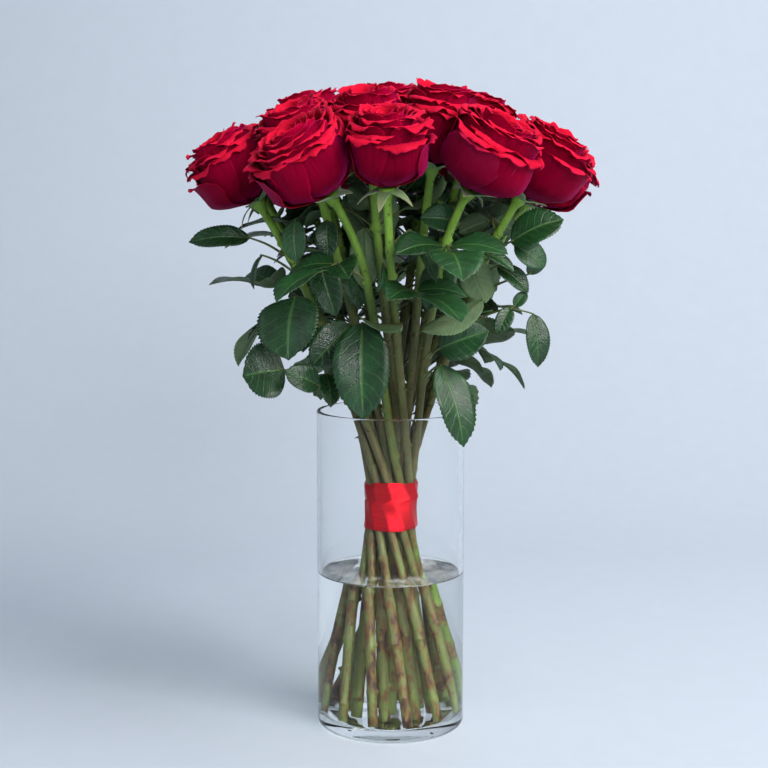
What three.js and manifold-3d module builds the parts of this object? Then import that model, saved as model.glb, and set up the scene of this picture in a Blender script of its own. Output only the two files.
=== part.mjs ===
// Nineteen cut red roses, bound with a satin ribbon, in a clear glass cylinder vase with water.
// Millimetres, +Z up. The origin is the middle of the vase's flat foot, and the viewer stands at -Y.
// A bearing is an angle in plan from the viewer's side, in degrees, positive to the viewer's right.

import * as THREE from 'three';
import { mergeVertices } from 'three/addons/utils/BufferGeometryUtils.js';
import Module from 'manifold-3d';

const wasm = await Module();
wasm.setup();

// Driving dimensions

const vase = { radius: 60, height: 260, wall: 3.5, floor: 10, lip: 1.2, foot: 2.5, corner: 2, sides: 40 };
const waterLevel = 126;
const gap = 0.3;
const ribbon = { bottom: 165, top: 203, thickness: 0.9, clearance: 0.45, sides: 28 };
const waist = { height: 184, reach: 16.2, slope: 0.3, half: 20 };
const foot = { height: vase.floor + gap, reach: 46.5 };
const stem = { sides: 5, footRadius: 3.8, waistRadius: 3.4, neckRadius: 3.2, hipRadius: 6.2, neckLength: 58 };
const blade = { thickness: 0.8, fold: 0.16, arch: 0.1 };
const headSeat = 30;

// Each head: the bearing and reach of its middle in plan, the height of its middle, how far it leans and
// to which bearing, its width and its height. They are listed round the bouquet, from the viewer's left.
const outerHeads = [
  [-74, 126, 453, 34, -78, 70, 57],
  [-30, 121, 456, 38, -55, 80, 60],
  [-2, 115, 466, 18, -5, 64, 58],
  [37, 120, 461, 33, 60, 80, 60],
  [66, 127, 456, 35, 70, 74, 58],
  [93, 128, 451, 38, 95, 70, 57],
  [124, 125, 456, 32, 122, 76, 58],
  [157, 123, 459, 30, 160, 77, 58],
  [189, 123, 458, 31, 186, 75, 58],
  [221, 124, 457, 32, 224, 77, 58],
  [254, 124, 455, 34, 252, 74, 57],
];
const innerHeads = [
  [-54, 84, 474, 22, -52, 72, 58],
  [-17, 58, 484, 14, -17, 70, 58],
  [33, 65, 484, 12, 40, 70, 60],
  [95, 65, 484, 16, 95, 76, 58],
  [153, 70, 484, 16, 153, 74, 58],
  [207, 72, 483, 17, 207, 76, 58],
  [262, 63, 484, 15, 262, 74, 58],
];
const middleHead = [180, 5, 489, 4, 0, 76, 60];

// The turn between a stem's place at the waist and its head, how close the inner stems stand there, and
// the bearing of each ring's first head.
const waistTurn = 81;
const innerShare = 0.55;
const firstSlot = { outer: -69, inner: -57 };

// Leaves that the viewer sees, each a list of leaflets that part where the first one starts. A leaflet is
// its base, its tip, its width, and the bearing and rise of the way its face looks.
const frontLeaves = [
  [[-22, -68, 336, -21, -84, 264, 44, -5, 20]],
  [[-73, -62, 355, -77, -84, 309, 53, -25, 25]],
  [[-82, -52, 298, -114, -60, 294, 46, -35, 10]],
  [[-55, -62, 287, -81, -72, 299, 22, 0, 25]],
  [[-50, -46, 294, -46, -66, 271, 19, 20, 5]],
  [[-31, -48, 333, -61, -58, 302, 32, 10, 20]],
  [[-55, -54, 384, -42, -60, 340, 25, -10, 15]],
  [[-49, -53, 413, -48, -58, 384, 19, -5, 15]],
  [[-73, -60, 413, -71, -68, 381, 20, -20, 20]],
  [[-21, -35, 407, -20, -42, 359, 24, 180, 0]],
  [[8, -68, 334, -24, -87, 342, 20, 180, -70]],
  [[-6, -83, 381, -11, -86, 360, 10, 60, 0]],
  [[52, -62, 411, 22, -68, 415, 25, 10, 30]],
  [[14, -74, 406, 34, -84, 367, 14, 30, 20]],
  [[43, -58, 382, 27, -70, 346, 28, 0, 20]],
  [[61, -49, 385, 73, -56, 350, 27, 190, 0]],
  [[70, -62, 353, 23, -92, 331, 24, 180, -55]],
  [[37, -50, 314, 75, -60, 329, 32, 15, 20]],
  [[38, -52, 302, 56, -66, 240, 32, 25, 10]],
  [[91, -62, 397, 130, -68, 414, 32, 15, 40], [94, -58, 394, 118, -56, 378, 22, 30, 10]],
  [[68, -62, 390, 93, -70, 375, 14, 20, 50]],
  [[82, -47, 378, 106, -50, 358, 18, 20, 30]],
  [
    [92, -50, 346, 81, -58, 326, 14, 0, 15],
    [95, -50, 347, 105, -48, 358, 10, 10, 30],
    [110, -47, 341, 114, -50, 300, 20, 15, 15],
  ],
  [[107, -36, 371, 118, -38, 391, 15, 30, 10]],
  [[-110, -30, 399, -157, -34, 396, 16, -20, 50]],
  [[-100, -39, 386, -106, -46, 360, 11, -60, 10]],
];

// The other leaves are drawn by rule, on each stem in turn, where they cross nothing. Each pair is the bounds
// of a draw: the height where the leaf starts, its bearing from straight out, the rise and reach of its
// stalk, its size, the rise that its leaflets hang at, and the rise of the way its face looks.
const fillLeaves = {
  perStem: 1, tries: 60, height: [286, 405], swing: [-75, 75], rise: [5, 45], reach: [18, 32],
  size: [0.85, 1.2], hang: [-55, 5], face: [20, 60],
};

// Its leaflets: the swing from the leaf's bearing, the distance from the fork, the length and the width.
const fillLeaflets = [[0, 12, 50, 34], [-62, 3, 38, 27], [62, 3, 38, 27]];

// How far a drawn leaf stays clear of other things.
const leafClearance = { head: 5, stem: 1.2, wall: 3, leaf: 1.6 };

// Each kind of draw has its own seeds, a step apart from one rose to the next.
const seeds = { leaves: 20417, sepals: 3001, petals: 7001, step: 97 };

// Small geometry helpers

const rad = (degrees) => (degrees * Math.PI) / 180;
const vec = (x, y, z) => new THREE.Vector3(x, y, z);
const mix = (a, b, share) => a + (b - a) * share;

// The level unit vector of a bearing, and the level one that a growing bearing turns towards.
const heading = (bearing) => vec(Math.sin(rad(bearing)), -Math.cos(rad(bearing)), 0);
const turning = (bearing) => vec(Math.cos(rad(bearing)), Math.sin(rad(bearing)), 0);

// A unit vector from a bearing and a rise, both in degrees.
function looking(bearing, rise) {
  return heading(bearing).multiplyScalar(Math.cos(rad(rise))).add(vec(0, 0, Math.sin(rad(rise))));
}

// A repeatable stream of numbers between two bounds.
function seededRandom(seed) {
  let state = seed;
  return (low, high) => {
    state = (state * 16807) % 2147483647;
    return low + ((high - low) * state) / 2147483647;
  };
}

// A cubic from one value and slope to another, over a span.
function hermite(from, fromSlope, to, toSlope, span, share) {
  const s2 = share * share;
  const s3 = s2 * share;
  return (2 * s3 - 3 * s2 + 1) * from + (s3 - 2 * s2 + share) * span * fromSlope
    + (3 * s2 - 2 * s3) * to + (s3 - s2) * span * toSlope;
}

// The faces of a tube's sides, through rings of points, with one band left open where it is named.
function sideFaces(rings, openBand) {
  const count = rings[0].length;
  const index = [];
  for (let row = 0; row + 1 < rings.length; row++) {
    if (row === openBand) continue;
    for (let j = 0; j < count; j++) {
      const a = row * count + j;
      const b = row * count + ((j + 1) % count);
      index.push(a, b, b + count, a, b + count, a + count);
    }
  }
  return index;
}

// The flat caps at a tube's two ends.
function capFaces(rings) {
  const count = rings[0].length;
  const last = (rings.length - 1) * count;
  const index = [];
  for (let j = 1; j < count - 1; j++) index.push(0, j + 1, j, last, last + j, last + j + 1);
  return index;
}

// A closed body through rings of points, with flat caps.
const rod = (rings) => facingOut(rings.flat(), [...sideFaces(rings), ...capFaces(rings)]);

// A closed body through rings of points, each end a fan to its pole.
function bulb(rings, startPole, endPole) {
  const points = [...rings.flat(), startPole, endPole];
  const index = sideFaces(rings);
  const count = rings[0].length;
  const last = (rings.length - 1) * count;
  const pole = last + count;
  for (let j = 0; j < count; j++) {
    const next = (j + 1) % count;
    index.push(pole, next, j, pole + 1, last + j, last + next);
  }
  return facingOut(points, index);
}

// Turns the faces over where they enclose a negative volume.
function facingOut(points, index) {
  let volume = 0;
  for (let i = 0; i < index.length; i += 3) {
    volume += points[index[i]].dot(points[index[i + 1]].clone().cross(points[index[i + 2]]));
  }
  const geometry = new THREE.BufferGeometry();
  geometry.setAttribute('position', new THREE.Float32BufferAttribute(points.flatMap((p) => p.toArray()), 3));
  geometry.setIndex(volume < 0 ? index.reverse() : index);
  return geometry;
}

// Joins and cuts

function solid(geometry) {
  const bare = new THREE.BufferGeometry();
  bare.setAttribute('position', geometry.getAttribute('position'));
  bare.setIndex(geometry.index);
  const merged = mergeVertices(bare, 1e-4);
  const mesh = new wasm.Mesh({
    numProp: 3,
    vertProperties: new Float32Array(merged.getAttribute('position').array),
    triVerts: new Uint32Array(merged.index.array),
  });
  return new wasm.Manifold(mesh);
}

function geometryOf(body) {
  const mesh = body.getMesh();
  const geometry = new THREE.BufferGeometry();
  geometry.setAttribute('position', new THREE.BufferAttribute(mesh.vertProperties, 3));
  geometry.setIndex(new THREE.BufferAttribute(mesh.triVerts, 1));
  return geometry;
}

const fuse = (geometries) => geometryOf(geometries.map(solid).reduce((all, one) => all.add(one)));

// The layout of the roses

function layRose(row, ring, slot) {
  const [bearing, reach, height, lean, leanBearing, width, tall] = row;
  const centre = heading(bearing).multiplyScalar(reach).add(vec(0, 0, height));
  const axis = looking(leanBearing, 90 - lean);
  const base = centre.clone().addScaledVector(axis, -headSeat);
  return { centre, axis, base, width, tall, ring, slot: slot + waistTurn };
}

// The slots at the waist are evenly spaced, each turned to suit the heads above.
function layRoses() {
  const slotOf = (first, i, count) => first + (i * 360) / count;
  const outer = outerHeads.map((row, i) => layRose(row, 1, slotOf(firstSlot.outer, i, outerHeads.length)));
  const inner = innerHeads.map((row, i) => layRose(row, innerShare, slotOf(firstSlot.inner, i, innerHeads.length)));
  return [...outer, ...inner, layRose(middleHead, 0, 0)];
}

// Where a stem's middle line is at a height: straight through the waist, easing out to the foot below,
// and above it rising nearly straight to the neck, which bends into the head's own lean.
function stemAt(rose, height) {
  const out = heading(rose.slot).multiplyScalar(rose.ring * waist.reach);
  const along = turning(rose.slot).multiplyScalar(-rose.ring * waist.slope);
  const low = waist.height - waist.half;
  const high = waist.height + waist.half;
  const lowPoint = out.clone().addScaledVector(along, -waist.half);
  const highPoint = out.clone().addScaledVector(along, waist.half);
  if (height < low) {
    const spread = Math.sqrt(foot.reach ** 2 - waist.reach ** 2) * rose.ring;
    const end = out.clone().addScaledVector(turning(rose.slot), spread);
    const drop = end.clone().sub(lowPoint).divideScalar(foot.height - low);
    return easePoint(end, drop, lowPoint, along, foot.height, low, height);
  }
  if (height <= high) return out.addScaledVector(along, height - waist.height).setZ(height);
  const headSlope = vec(rose.axis.x / rose.axis.z, rose.axis.y / rose.axis.z, 0);
  const straight = vec(rose.base.x, rose.base.y, 0).sub(highPoint).divideScalar(rose.base.z - high);
  const neckSlope = straight.clone().lerp(headSlope, 0.5);
  const neck = vec(rose.base.x, rose.base.y, 0).addScaledVector(neckSlope, -stem.neckLength);
  const neckHeight = rose.base.z - stem.neckLength;
  if (height < neckHeight) return easePoint(highPoint, along, neck, straight, high, neckHeight, height);
  return easePoint(neck, straight, vec(rose.base.x, rose.base.y, 0), headSlope, neckHeight, rose.base.z, height);
}

function easePoint(from, fromSlope, to, toSlope, low, high, height) {
  const span = high - low;
  const share = (height - low) / span;
  const x = hermite(from.x, fromSlope.x, to.x, toSlope.x, span, share);
  const y = hermite(from.y, fromSlope.y, to.y, toSlope.y, span, share);
  return vec(x, y, height);
}

// The heights and radii of a stem's rings, from its cut foot to the top of the hip under the bloom.
function stemRings(rose) {
  const top = rose.base.z;
  return [
    [foot.height, stem.footRadius],
    [68, stem.footRadius],
    [waist.height - 50, stem.waistRadius],
    [waist.height - waist.half, stem.waistRadius],
    [waist.height + waist.half, stem.waistRadius],
    [mix(waist.height, top, 0.28), stem.waistRadius],
    [mix(waist.height, top, 0.5), stem.waistRadius],
    [mix(waist.height, top, 0.75), stem.neckRadius],
    [top - 30, stem.neckRadius],
    [top - 12, stem.neckRadius],
  ];
}

// The rings of a stem at the given heights and radii, level, and larger by an extra.
function stemSections(rose, extra, heights) {
  return heights.map(([height, radius]) =>
    ringAround(stemAt(rose, height), vec(0, 0, 1), radius + extra, stem.sides, 0));
}

// A ring of points round a middle, square to a normal, its first point turned by a spin from the right.
function ringAround(middle, normal, radius, sides, spin) {
  const right = vec(1, 0, 0).addScaledVector(normal, -normal.x).normalize();
  const ahead = normal.clone().cross(right);
  const ring = [];
  for (let i = 0; i < sides; i++) {
    const turn = rad(spin) + (2 * Math.PI * i) / sides;
    const point = middle.clone().addScaledVector(right, radius * Math.cos(turn));
    ring.push(point.addScaledVector(ahead, radius * Math.sin(turn)));
  }
  return ring;
}

// The hip under the bloom swells and closes in a flat top. Its rings are a distance below the top and a
// radius; the sepals grow from the band between the second and the third.
const hipRings = [[7, 4.4], [2.8, 5.9], [1.1, stem.hipRadius], [0, 5.8]];
const sepal = { length: 22, bendShare: 0.5, bendWidth: 4.8, bendThickness: 0.9 };

function stemBody(rose, number) {
  const draw = seededRandom(seeds.sepals + seeds.step * number);
  const spin = draw(0, 72);
  const rings = stemSections(rose, 0, stemRings(rose));
  const band = rings.length + 1;
  for (const [below, radius] of hipRings) {
    const middle = rose.base.clone().addScaledVector(rose.axis, -below);
    rings.push(ringAround(middle, rose.axis, radius, stem.sides, spin));
  }
  const points = rings.flat();
  const index = [...sideFaces(rings, band), ...capFaces(rings)];
  for (let j = 0; j < stem.sides; j++) {
    const low = band * stem.sides;
    const next = (j + 1) % stem.sides;
    const corners = [low + j, low + next, low + next + stem.sides, low + j + stem.sides];
    addSepal(points, index, corners, rose, draw(0.1, 1));
  }
  return facingOut(points, index);
}

// A sepal grows from four corners of the hip to a narrower bend and a tip, and hangs by its droop.
function addSepal(points, index, corners, rose, droop) {
  const root = corners.map((corner) => points[corner]);
  const middle = root.reduce((sum, point) => sum.add(point), vec(0, 0, 0)).divideScalar(4);
  const out = middle.clone().sub(rose.base).projectOnPlane(rose.axis).normalize();
  const side = root[1].clone().sub(root[0]).normalize();
  const reach = sepal.length * sepal.bendShare;
  const bend = middle.clone().addScaledVector(out, reach).addScaledVector(rose.axis, -1 - 2.5 * droop);
  const tip = middle.clone().addScaledVector(out, sepal.length).addScaledVector(rose.axis, -1 - 11 * droop);
  const first = points.length;
  for (const [across, up] of [[-1, -1], [1, -1], [1, 1], [-1, 1]]) {
    const corner = bend.clone().addScaledVector(side, (across * sepal.bendWidth) / 2);
    points.push(corner.addScaledVector(rose.axis, (up * sepal.bendThickness) / 2));
  }
  points.push(tip);
  for (let i = 0; i < 4; i++) {
    const next = (i + 1) % 4;
    index.push(corners[i], corners[next], first + next, corners[i], first + next, first + i);
    index.push(first + i, first + next, first + 4);
  }
}

// Leaves: a leaflet's middle surface, by shares of its length and of its half width

// The leaflet's outline on one side, as shares of its length and of its half width, with one tooth.
const leafOutline = [[0.15, 0.6], [0.42, 1], [0.51, 0.88], [0.8, 0.6]];
const leafRib = [0.38, 0.7];

function layLeaflet(numbers) {
  const [bx, by, bz, tx, ty, tz, width, bearing, rise] = numbers;
  const base = vec(bx, by, bz);
  const tip = vec(tx, ty, tz);
  const length = tip.distanceTo(base);
  const axis = tip.clone().sub(base).normalize();
  const face = looking(bearing, rise);
  const normal = face.addScaledVector(axis, -face.dot(axis)).normalize();
  const side = axis.clone().cross(normal);
  return { base, tip, axis, normal, side, length, width };
}

function leafPoint(leaflet, along, across, above) {
  const { base, axis, normal, side, length, width } = leaflet;
  const lift = blade.arch * length * Math.sin(Math.PI * along) + blade.fold * width * 0.5 * Math.abs(across);
  return base.clone().addScaledVector(axis, length * along)
    .addScaledVector(side, width * 0.5 * across).addScaledVector(normal, lift + above);
}

// The faces of the blade's left half. Corner 0 is its base, 1 to 4 its left edge, 5 its tip, 6 to 9 its
// right edge from the tip down, and 10 and 11 lie on the rib.
const leftFaces = [[0, 10, 1], [1, 10, 2], [2, 10, 3], [3, 10, 11], [3, 11, 4], [4, 11, 5]];
const edgeCorners = 9;
const bladeCorners = 11;
const stalkRadius = 1.1;

// A leaflet on its stalk, in one skin: a slim three-sided stalk that opens into a thin blade, which has
// the same triangles on both faces.
function leafBody({ leaflet, stalk }) {
  const rings = stalkRings(leaflet, stalk);
  const points = rings.flat();
  const index = [0, 2, 1];
  for (let row = 1; row < rings.length; row++) {
    for (const [a, b] of [[0, 1], [1, 2], [2, 0]]) {
      const from = 3 * row;
      index.push(from + b, from + a, from + a - 3, from + b, from + a - 3, from + b - 3);
    }
  }
  const [left, right, low] = [0, 1, 2].map((i) => 3 * (rings.length - 1) + i);
  const top = points.length - 1;
  const under = top + bladeCorners;
  points.push(...bladePoints(leaflet, blade.thickness / 2), ...bladePoints(leaflet, -blade.thickness / 2));
  index.push(left, right, top + 10);
  for (const face of leftFaces) {
    const [a, b, c] = face.map((corner) => (corner ? top + corner : left));
    const [d, e, f] = face.map((corner) => (corner ? under + corner : low));
    const [g, h, i] = face.map((corner) => (corner ? top + mirrorCorner(corner) : right));
    const [j, k, l] = face.map((corner) => (corner ? under + mirrorCorner(corner) : low));
    index.push(a, b, c, d, f, e, g, i, h, j, k, l);
  }
  for (let corner = 1; corner < edgeCorners; corner++) {
    index.push(top + corner, top + corner + 1, under + corner + 1);
    index.push(top + corner, under + corner + 1, under + corner);
  }
  index.push(left, top + 1, under + 1, left, under + 1, low);
  index.push(top + edgeCorners, right, low, top + edgeCorners, low, under + edgeCorners);
  return facingOut(points, index);
}

function bladePoints(leaflet, above) {
  const edge = (side) => leafOutline.map(([along, across]) => leafPoint(leaflet, along, side * across, above));
  const rib = leafRib.map((along) => leafPoint(leaflet, along, 0, above));
  return [...edge(-1), leafPoint(leaflet, 1, 0, above), ...edge(1).reverse(), ...rib];
}

// The corner across the rib from one on the left; corners on the rib stay.
const mirrorCorner = (corner) => (corner < 5 ? 10 - corner : corner);

// The stalk's rings from its root to the blade, each with a left, a right and a low point, turned along.
function stalkRings(leaflet, stalk) {
  let way = leaflet.axis.clone();
  let across = leaflet.side.clone();
  const rings = [];
  for (let i = stalk.length - 1; i >= 0; i--) {
    const next = stalk[Math.max(i, 1)].clone().sub(stalk[Math.max(i, 1) - 1]).normalize();
    const bent = i === stalk.length - 1 ? next.clone().add(leaflet.axis).normalize() : next;
    across.applyQuaternion(new THREE.Quaternion().setFromUnitVectors(way, bent));
    way = bent;
    const down = way.clone().cross(across);
    rings.unshift([[-1, 0.4], [1, 0.4], [0, -1]].map(([side, up]) => stalk[i].clone()
      .addScaledVector(across, stalkRadius * side).addScaledVector(down, -stalkRadius * up)));
  }
  return rings;
}

// A leaf belongs to the stem nearest to its fork. The first leaflet's stalk rises to the fork from a node
// below it, and the other leaflets' stalks start at the fork.
function layLeaf(roses, leaflets, fork, owner) {
  const parting = fork ?? leaflets[0].base;
  const rose = owner ?? nearestRose(roses, parting);
  const near = stemAt(rose, parting.z - 10);
  const drop = 8 + 0.3 * Math.hypot(parting.x - near.x, parting.y - near.y);
  const root = stemAt(rose, parting.z - drop);
  const bend = root.clone().lerp(parting, 0.55).add(vec(0, 0, drop * 0.12));
  const main = fork ? [root, bend, fork, leaflets[0].base] : [root, bend, parting];
  const blades = leaflets.map((leaflet, i) => ({ leaflet, stalk: i ? [parting, leaflet.base] : main }));
  return { rose, blades };
}

function nearestRose(roses, point) {
  const away = (rose) => stemAt(rose, point.z - 10).distanceTo(point);
  return roses.reduce((best, rose) => (away(rose) < away(best) ? rose : best));
}

// Tests that keep the drawn leaves clear of everything else

function crosses(from, to, a, b, c) {
  const edge1 = b.clone().sub(a);
  const edge2 = c.clone().sub(a);
  const way = to.clone().sub(from);
  const p = way.clone().cross(edge2);
  const det = edge1.dot(p);
  if (Math.abs(det) < 1e-9) return false;
  const s = from.clone().sub(a);
  const u = s.dot(p) / det;
  const q = s.cross(edge1);
  const v = way.dot(q) / det;
  const t = edge2.dot(q) / det;
  return u >= 0 && v >= 0 && u + v <= 1 && t >= 0 && t <= 1;
}

function distanceToSegment(point, from, to) {
  const way = to.clone().sub(from);
  const share = Math.min(1, Math.max(0, point.clone().sub(from).dot(way) / way.lengthSq()));
  return point.distanceTo(from.clone().addScaledVector(way, share));
}

// A coarse net over a leaflet, a little larger than the blade: three rows of points and their triangles.
function leafNet(leaflet) {
  const rows = [[0.04, 0.25], [0.3, 0.95], [0.62, 0.95], [1.02, 0.1]];
  const points = [];
  for (const [along, across] of rows) {
    for (const side of [-1, 0, 1]) points.push(leafPoint(leaflet, along, side * across * 1.05, 0));
  }
  const triangles = [];
  for (let row = 0; row < 3; row++) {
    for (let side = 0; side < 2; side++) {
      const a = 3 * row + side;
      triangles.push([points[a], points[a + 1], points[a + 4]], [points[a], points[a + 4], points[a + 3]]);
    }
  }
  const middle = leafPoint(leaflet, 0.5, 0, 0);
  return { points, triangles, middle, reach: Math.max(leaflet.length, leaflet.width) * 0.56 };
}

const netEdges = (net) => net.triangles.flatMap(([a, b, c]) => [[a, b], [b, c], [c, a]]);

function netsMeet(one, other) {
  if (one.middle.distanceTo(other.middle) > one.reach + other.reach + 4) return false;
  for (const point of one.points) {
    for (const there of other.points) if (point.distanceTo(there) < 2.5 * leafClearance.leaf) return true;
  }
  const through = (edges, net) => edges.some(([from, to]) =>
    net.triangles.some(([a, b, c]) => crosses(from, to, a, b, c)));
  return through(netEdges(one), other) || through(netEdges(other), one);
}

function rodMeetsNet(from, to, net, clear) {
  if (distanceToSegment(net.middle, from, to) > net.reach + clear + 4) return false;
  if (net.points.some((point) => distanceToSegment(point, from, to) < clear)) return true;
  return net.triangles.some(([a, b, c]) => crosses(from, to, a, b, c));
}

// The stem's middle line above the waist, in short straight pieces.
function stemPieces(rose) {
  const pieces = [];
  for (let i = 0; i < 12; i++) {
    const low = mix(waist.height, rose.base.z, i / 12);
    const high = mix(waist.height, rose.base.z, (i + 1) / 12);
    pieces.push([stemAt(rose, low), stemAt(rose, high)]);
  }
  return pieces;
}

function netsAndRods(leaf) {
  const nets = leaf.blades.map(({ leaflet }) => leafNet(leaflet));
  const rods = leaf.blades.flatMap(({ stalk }) => stalk.slice(1).map((point, i) => [stalk[i], point]));
  return { leaf, nets, rods };
}

function leafIsClear(leaf, roses, placed) {
  const { nets, rods } = netsAndRods(leaf);
  for (const net of nets) {
    for (const point of net.points) {
      const inVase = point.z < vase.height + leafClearance.wall;
      if (inVase && Math.hypot(point.x, point.y) < vase.radius + leafClearance.wall) return false;
      const inHead = (rose) => point.distanceTo(rose.centre) < rose.width / 2 + leafClearance.head;
      if (roses.some(inHead)) return false;
    }
  }
  for (const rose of roses) {
    for (const [from, to] of stemPieces(rose)) {
      const clear = stem.waistRadius + leafClearance.stem;
      if (nets.some((net) => rodMeetsNet(from, to, net, clear))) return false;
      const stalkNear = ([a, b]) => [0, 0.5, 1].some((share) =>
        distanceToSegment(a.clone().lerp(b, share), from, to) < clear + stalkRadius);
      if (rose !== leaf.rose && rods.some(stalkNear)) return false;
    }
  }
  for (const other of placed) {
    const clear = stalkRadius + leafClearance.leaf;
    for (const net of nets) {
      if (other.nets.some((there) => netsMeet(net, there))) return false;
      if (other.rods.some(([from, to]) => rodMeetsNet(from, to, net, clear))) return false;
    }
    for (const net of other.nets) {
      if (rods.some(([from, to]) => rodMeetsNet(from, to, net, clear))) return false;
    }
  }
  return true;
}

// A drawn leaf of three leaflets: a pair at the fork, and the end one beyond it.
function drawLeaf(roses, rose, draw) {
  const start = stemAt(rose, draw(...fillLeaves.height));
  const outward = rose.ring === 0 ? draw(0, 360) : (Math.atan2(start.x, -start.y) * 180) / Math.PI;
  const bearing = outward + draw(...fillLeaves.swing);
  const fork = start.clone().addScaledVector(looking(bearing, draw(...fillLeaves.rise)), draw(...fillLeaves.reach));
  const size = draw(...fillLeaves.size);
  const hang = draw(...fillLeaves.hang);
  const face = draw(...fillLeaves.face);
  const leaflets = fillLeaflets.map(([swing, away, length, width]) => {
    const way = looking(bearing + swing, hang + (swing ? 12 : 0));
    const base = fork.clone().addScaledVector(way, away);
    const tip = base.clone().addScaledVector(way, length * size);
    return layLeaflet([...base.toArray(), ...tip.toArray(), width * size, bearing + swing * 0.3, face]);
  });
  return layLeaf(roses, leaflets, fork, rose);
}

function layLeaves(roses) {
  const placed = frontLeaves.map((leaflets) => netsAndRods(layLeaf(roses, leaflets.map(layLeaflet))));
  const draw = seededRandom(seeds.leaves);
  for (let turn = 0; turn < fillLeaves.perStem; turn++) {
    for (const rose of roses) {
      for (let i = 0; i < fillLeaves.tries; i++) {
        const leaf = drawLeaf(roses, rose, draw);
        if (!leafIsClear(leaf, roses, placed)) continue;
        placed.push(netsAndRods(leaf));
        break;
      }
    }
  }
  return placed.map((entry) => entry.leaf);
}

// Blooms

// Three rings of five petals. Each ring has a lip, and the groove inside it parts it from the next ring.
// A row is its share of the bloom's half width, its share of the height, and the ring that it belongs to;
// a row between two rings belongs to neither and takes its turn from both.
const bloomRows = [
  [0.17, 0, 0], [0.6, 0.12, 0], [0.88, 0.36, 0], [0.92, 0.62, 0], [1.02, 0.78, 0], [0.92, 0.85, 0],
  [0.75, 0.6, 0.5], [0.68, 0.93, 1], [0.5, 0.68, 1.5], [0.42, 0.985, 2], [0.2, 0.76, 2.5],
];
const bloomTop = 0.94;
const petalsInRing = 5;
const petalHalfTurn = 30;
const petalRoles = [
  { turn: -petalHalfTurn, swell: 0.05, fall: 0.07 },
  { turn: 0, swell: 0.03, fall: 0 },
  { turn: petalHalfTurn, swell: -0.05, fall: 0.09 },
];

// Where the column of a ring stands: its angle in degrees, and which petal and role it is.
function petalColumn(column, ring) {
  const place = column + ring;
  const role = place % 3;
  const petal = Math.floor(place / 3);
  const angle = (petal * 360) / petalsInRing + petalRoles[role].turn - 36 * ring;
  return { role, petal: petal % petalsInRing, angle };
}

function bloomRing(rose, row, jitter, spin) {
  const [reach, rise, ring] = row;
  const half = rose.width / 2;
  const points = [];
  for (let column = 0; column < 3 * petalsInRing; column++) {
    const low = petalColumn(column, Math.floor(ring));
    const high = petalColumn(column, Math.ceil(ring));
    const angle = mix(low.angle, high.angle, 0.5) + spin;
    const isLip = Number.isInteger(ring) && rise > 0.3;
    const role = petalRoles[low.role];
    const own = jitter[Math.floor(ring)][low.petal];
    const swell = isLip ? role.swell + own.swell : 0;
    const fall = isLip ? (role.fall * rise + own.fall) * (1 - 0.3 * ring) : 0;
    const out = half * reach * (1 + swell);
    points.push(vec(out * Math.cos(rad(angle)), out * Math.sin(rad(angle)), rose.tall * (rise - fall)));
  }
  return points;
}

// Heads that touch press each other flat: a point is drawn in towards the head's middle as it nears the
// planes half way to the neighbours, and never reaches them.
const pressPower = 8;
const pressHardness = 6;

function pressPlanes(roses, rose) {
  const planes = [];
  for (const other of roses) {
    const way = other.centre.clone().sub(rose.centre);
    const distance = way.length();
    if (other === rose || distance > (rose.width + other.width) / 2 + 6) continue;
    const room = (distance * rose.width) / (rose.width + other.width) - gap;
    planes.push({ way: way.normalize(), room });
  }
  return planes;
}

function press(point, rose, planes) {
  const from = point.clone().sub(rose.centre);
  let sum = 0;
  for (const { way, room } of planes) sum += Math.max(0, from.dot(way) / room) ** pressPower;
  const share = sum ** (1 / pressPower);
  return rose.centre.clone().addScaledVector(from, 1 / (1 + share ** pressHardness) ** (1 / pressHardness));
}

function bloomMesh(roses, rose, number) {
  const draw = seededRandom(seeds.petals + seeds.step * number);
  const spin = draw(0, 72);
  const jitter = [0, 1, 2].map(() => Array.from({ length: petalsInRing }, () => (
    { swell: draw(-0.05, 0.04), fall: draw(-0.03, 0.05) })));
  const mesh = new THREE.Mesh(undefined, petalRed);
  mesh.name = `bloom_${twoDigits(number)}`;
  mesh.position.copy(rose.base).addScaledVector(rose.axis, gap);
  mesh.quaternion.setFromUnitVectors(vec(0, 0, 1), rose.axis);
  mesh.updateMatrix();
  const inverse = mesh.matrix.clone().invert();
  const planes = pressPlanes(roses, rose);
  const pressed = (point) => press(point.applyMatrix4(mesh.matrix), rose, planes).applyMatrix4(inverse);
  const rings = bloomRows.map((row) => bloomRing(rose, row, jitter, spin).map(pressed));
  mesh.geometry = bulb(rings, vec(0, 0, 0), pressed(vec(0, 0, rose.tall * bloomTop)));
  return mesh;
}

// Vase, water and ribbon

function lathe(profile, sides) {
  return new THREE.LatheGeometry(profile.map(([x, y]) => new THREE.Vector2(x, y)), sides);
}

// A turned body stands along +Z once it is tipped up from three.js's +Y.
function turned(name, geometry, material) {
  const mesh = new THREE.Mesh(geometry, material);
  mesh.name = name;
  mesh.rotation.x = Math.PI / 2;
  return mesh;
}

function vaseMesh() {
  const { radius, height, wall, floor, lip, foot: toe, corner, sides } = vase;
  const inner = radius - wall;
  const profile = [
    [0, 0], [radius - toe, 0], [radius, toe], [radius, height - lip], [radius - lip, height],
    [inner + lip, height], [inner, height - lip], [inner, floor + corner], [inner - corner, floor], [0, floor],
  ];
  return turned('vase', lathe(profile, sides), clearGlass);
}

// The water fills the vase to its level, less a plain hole for each stem that stands in it, cut from a
// little below the floor.
const holeStart = 4;

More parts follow.
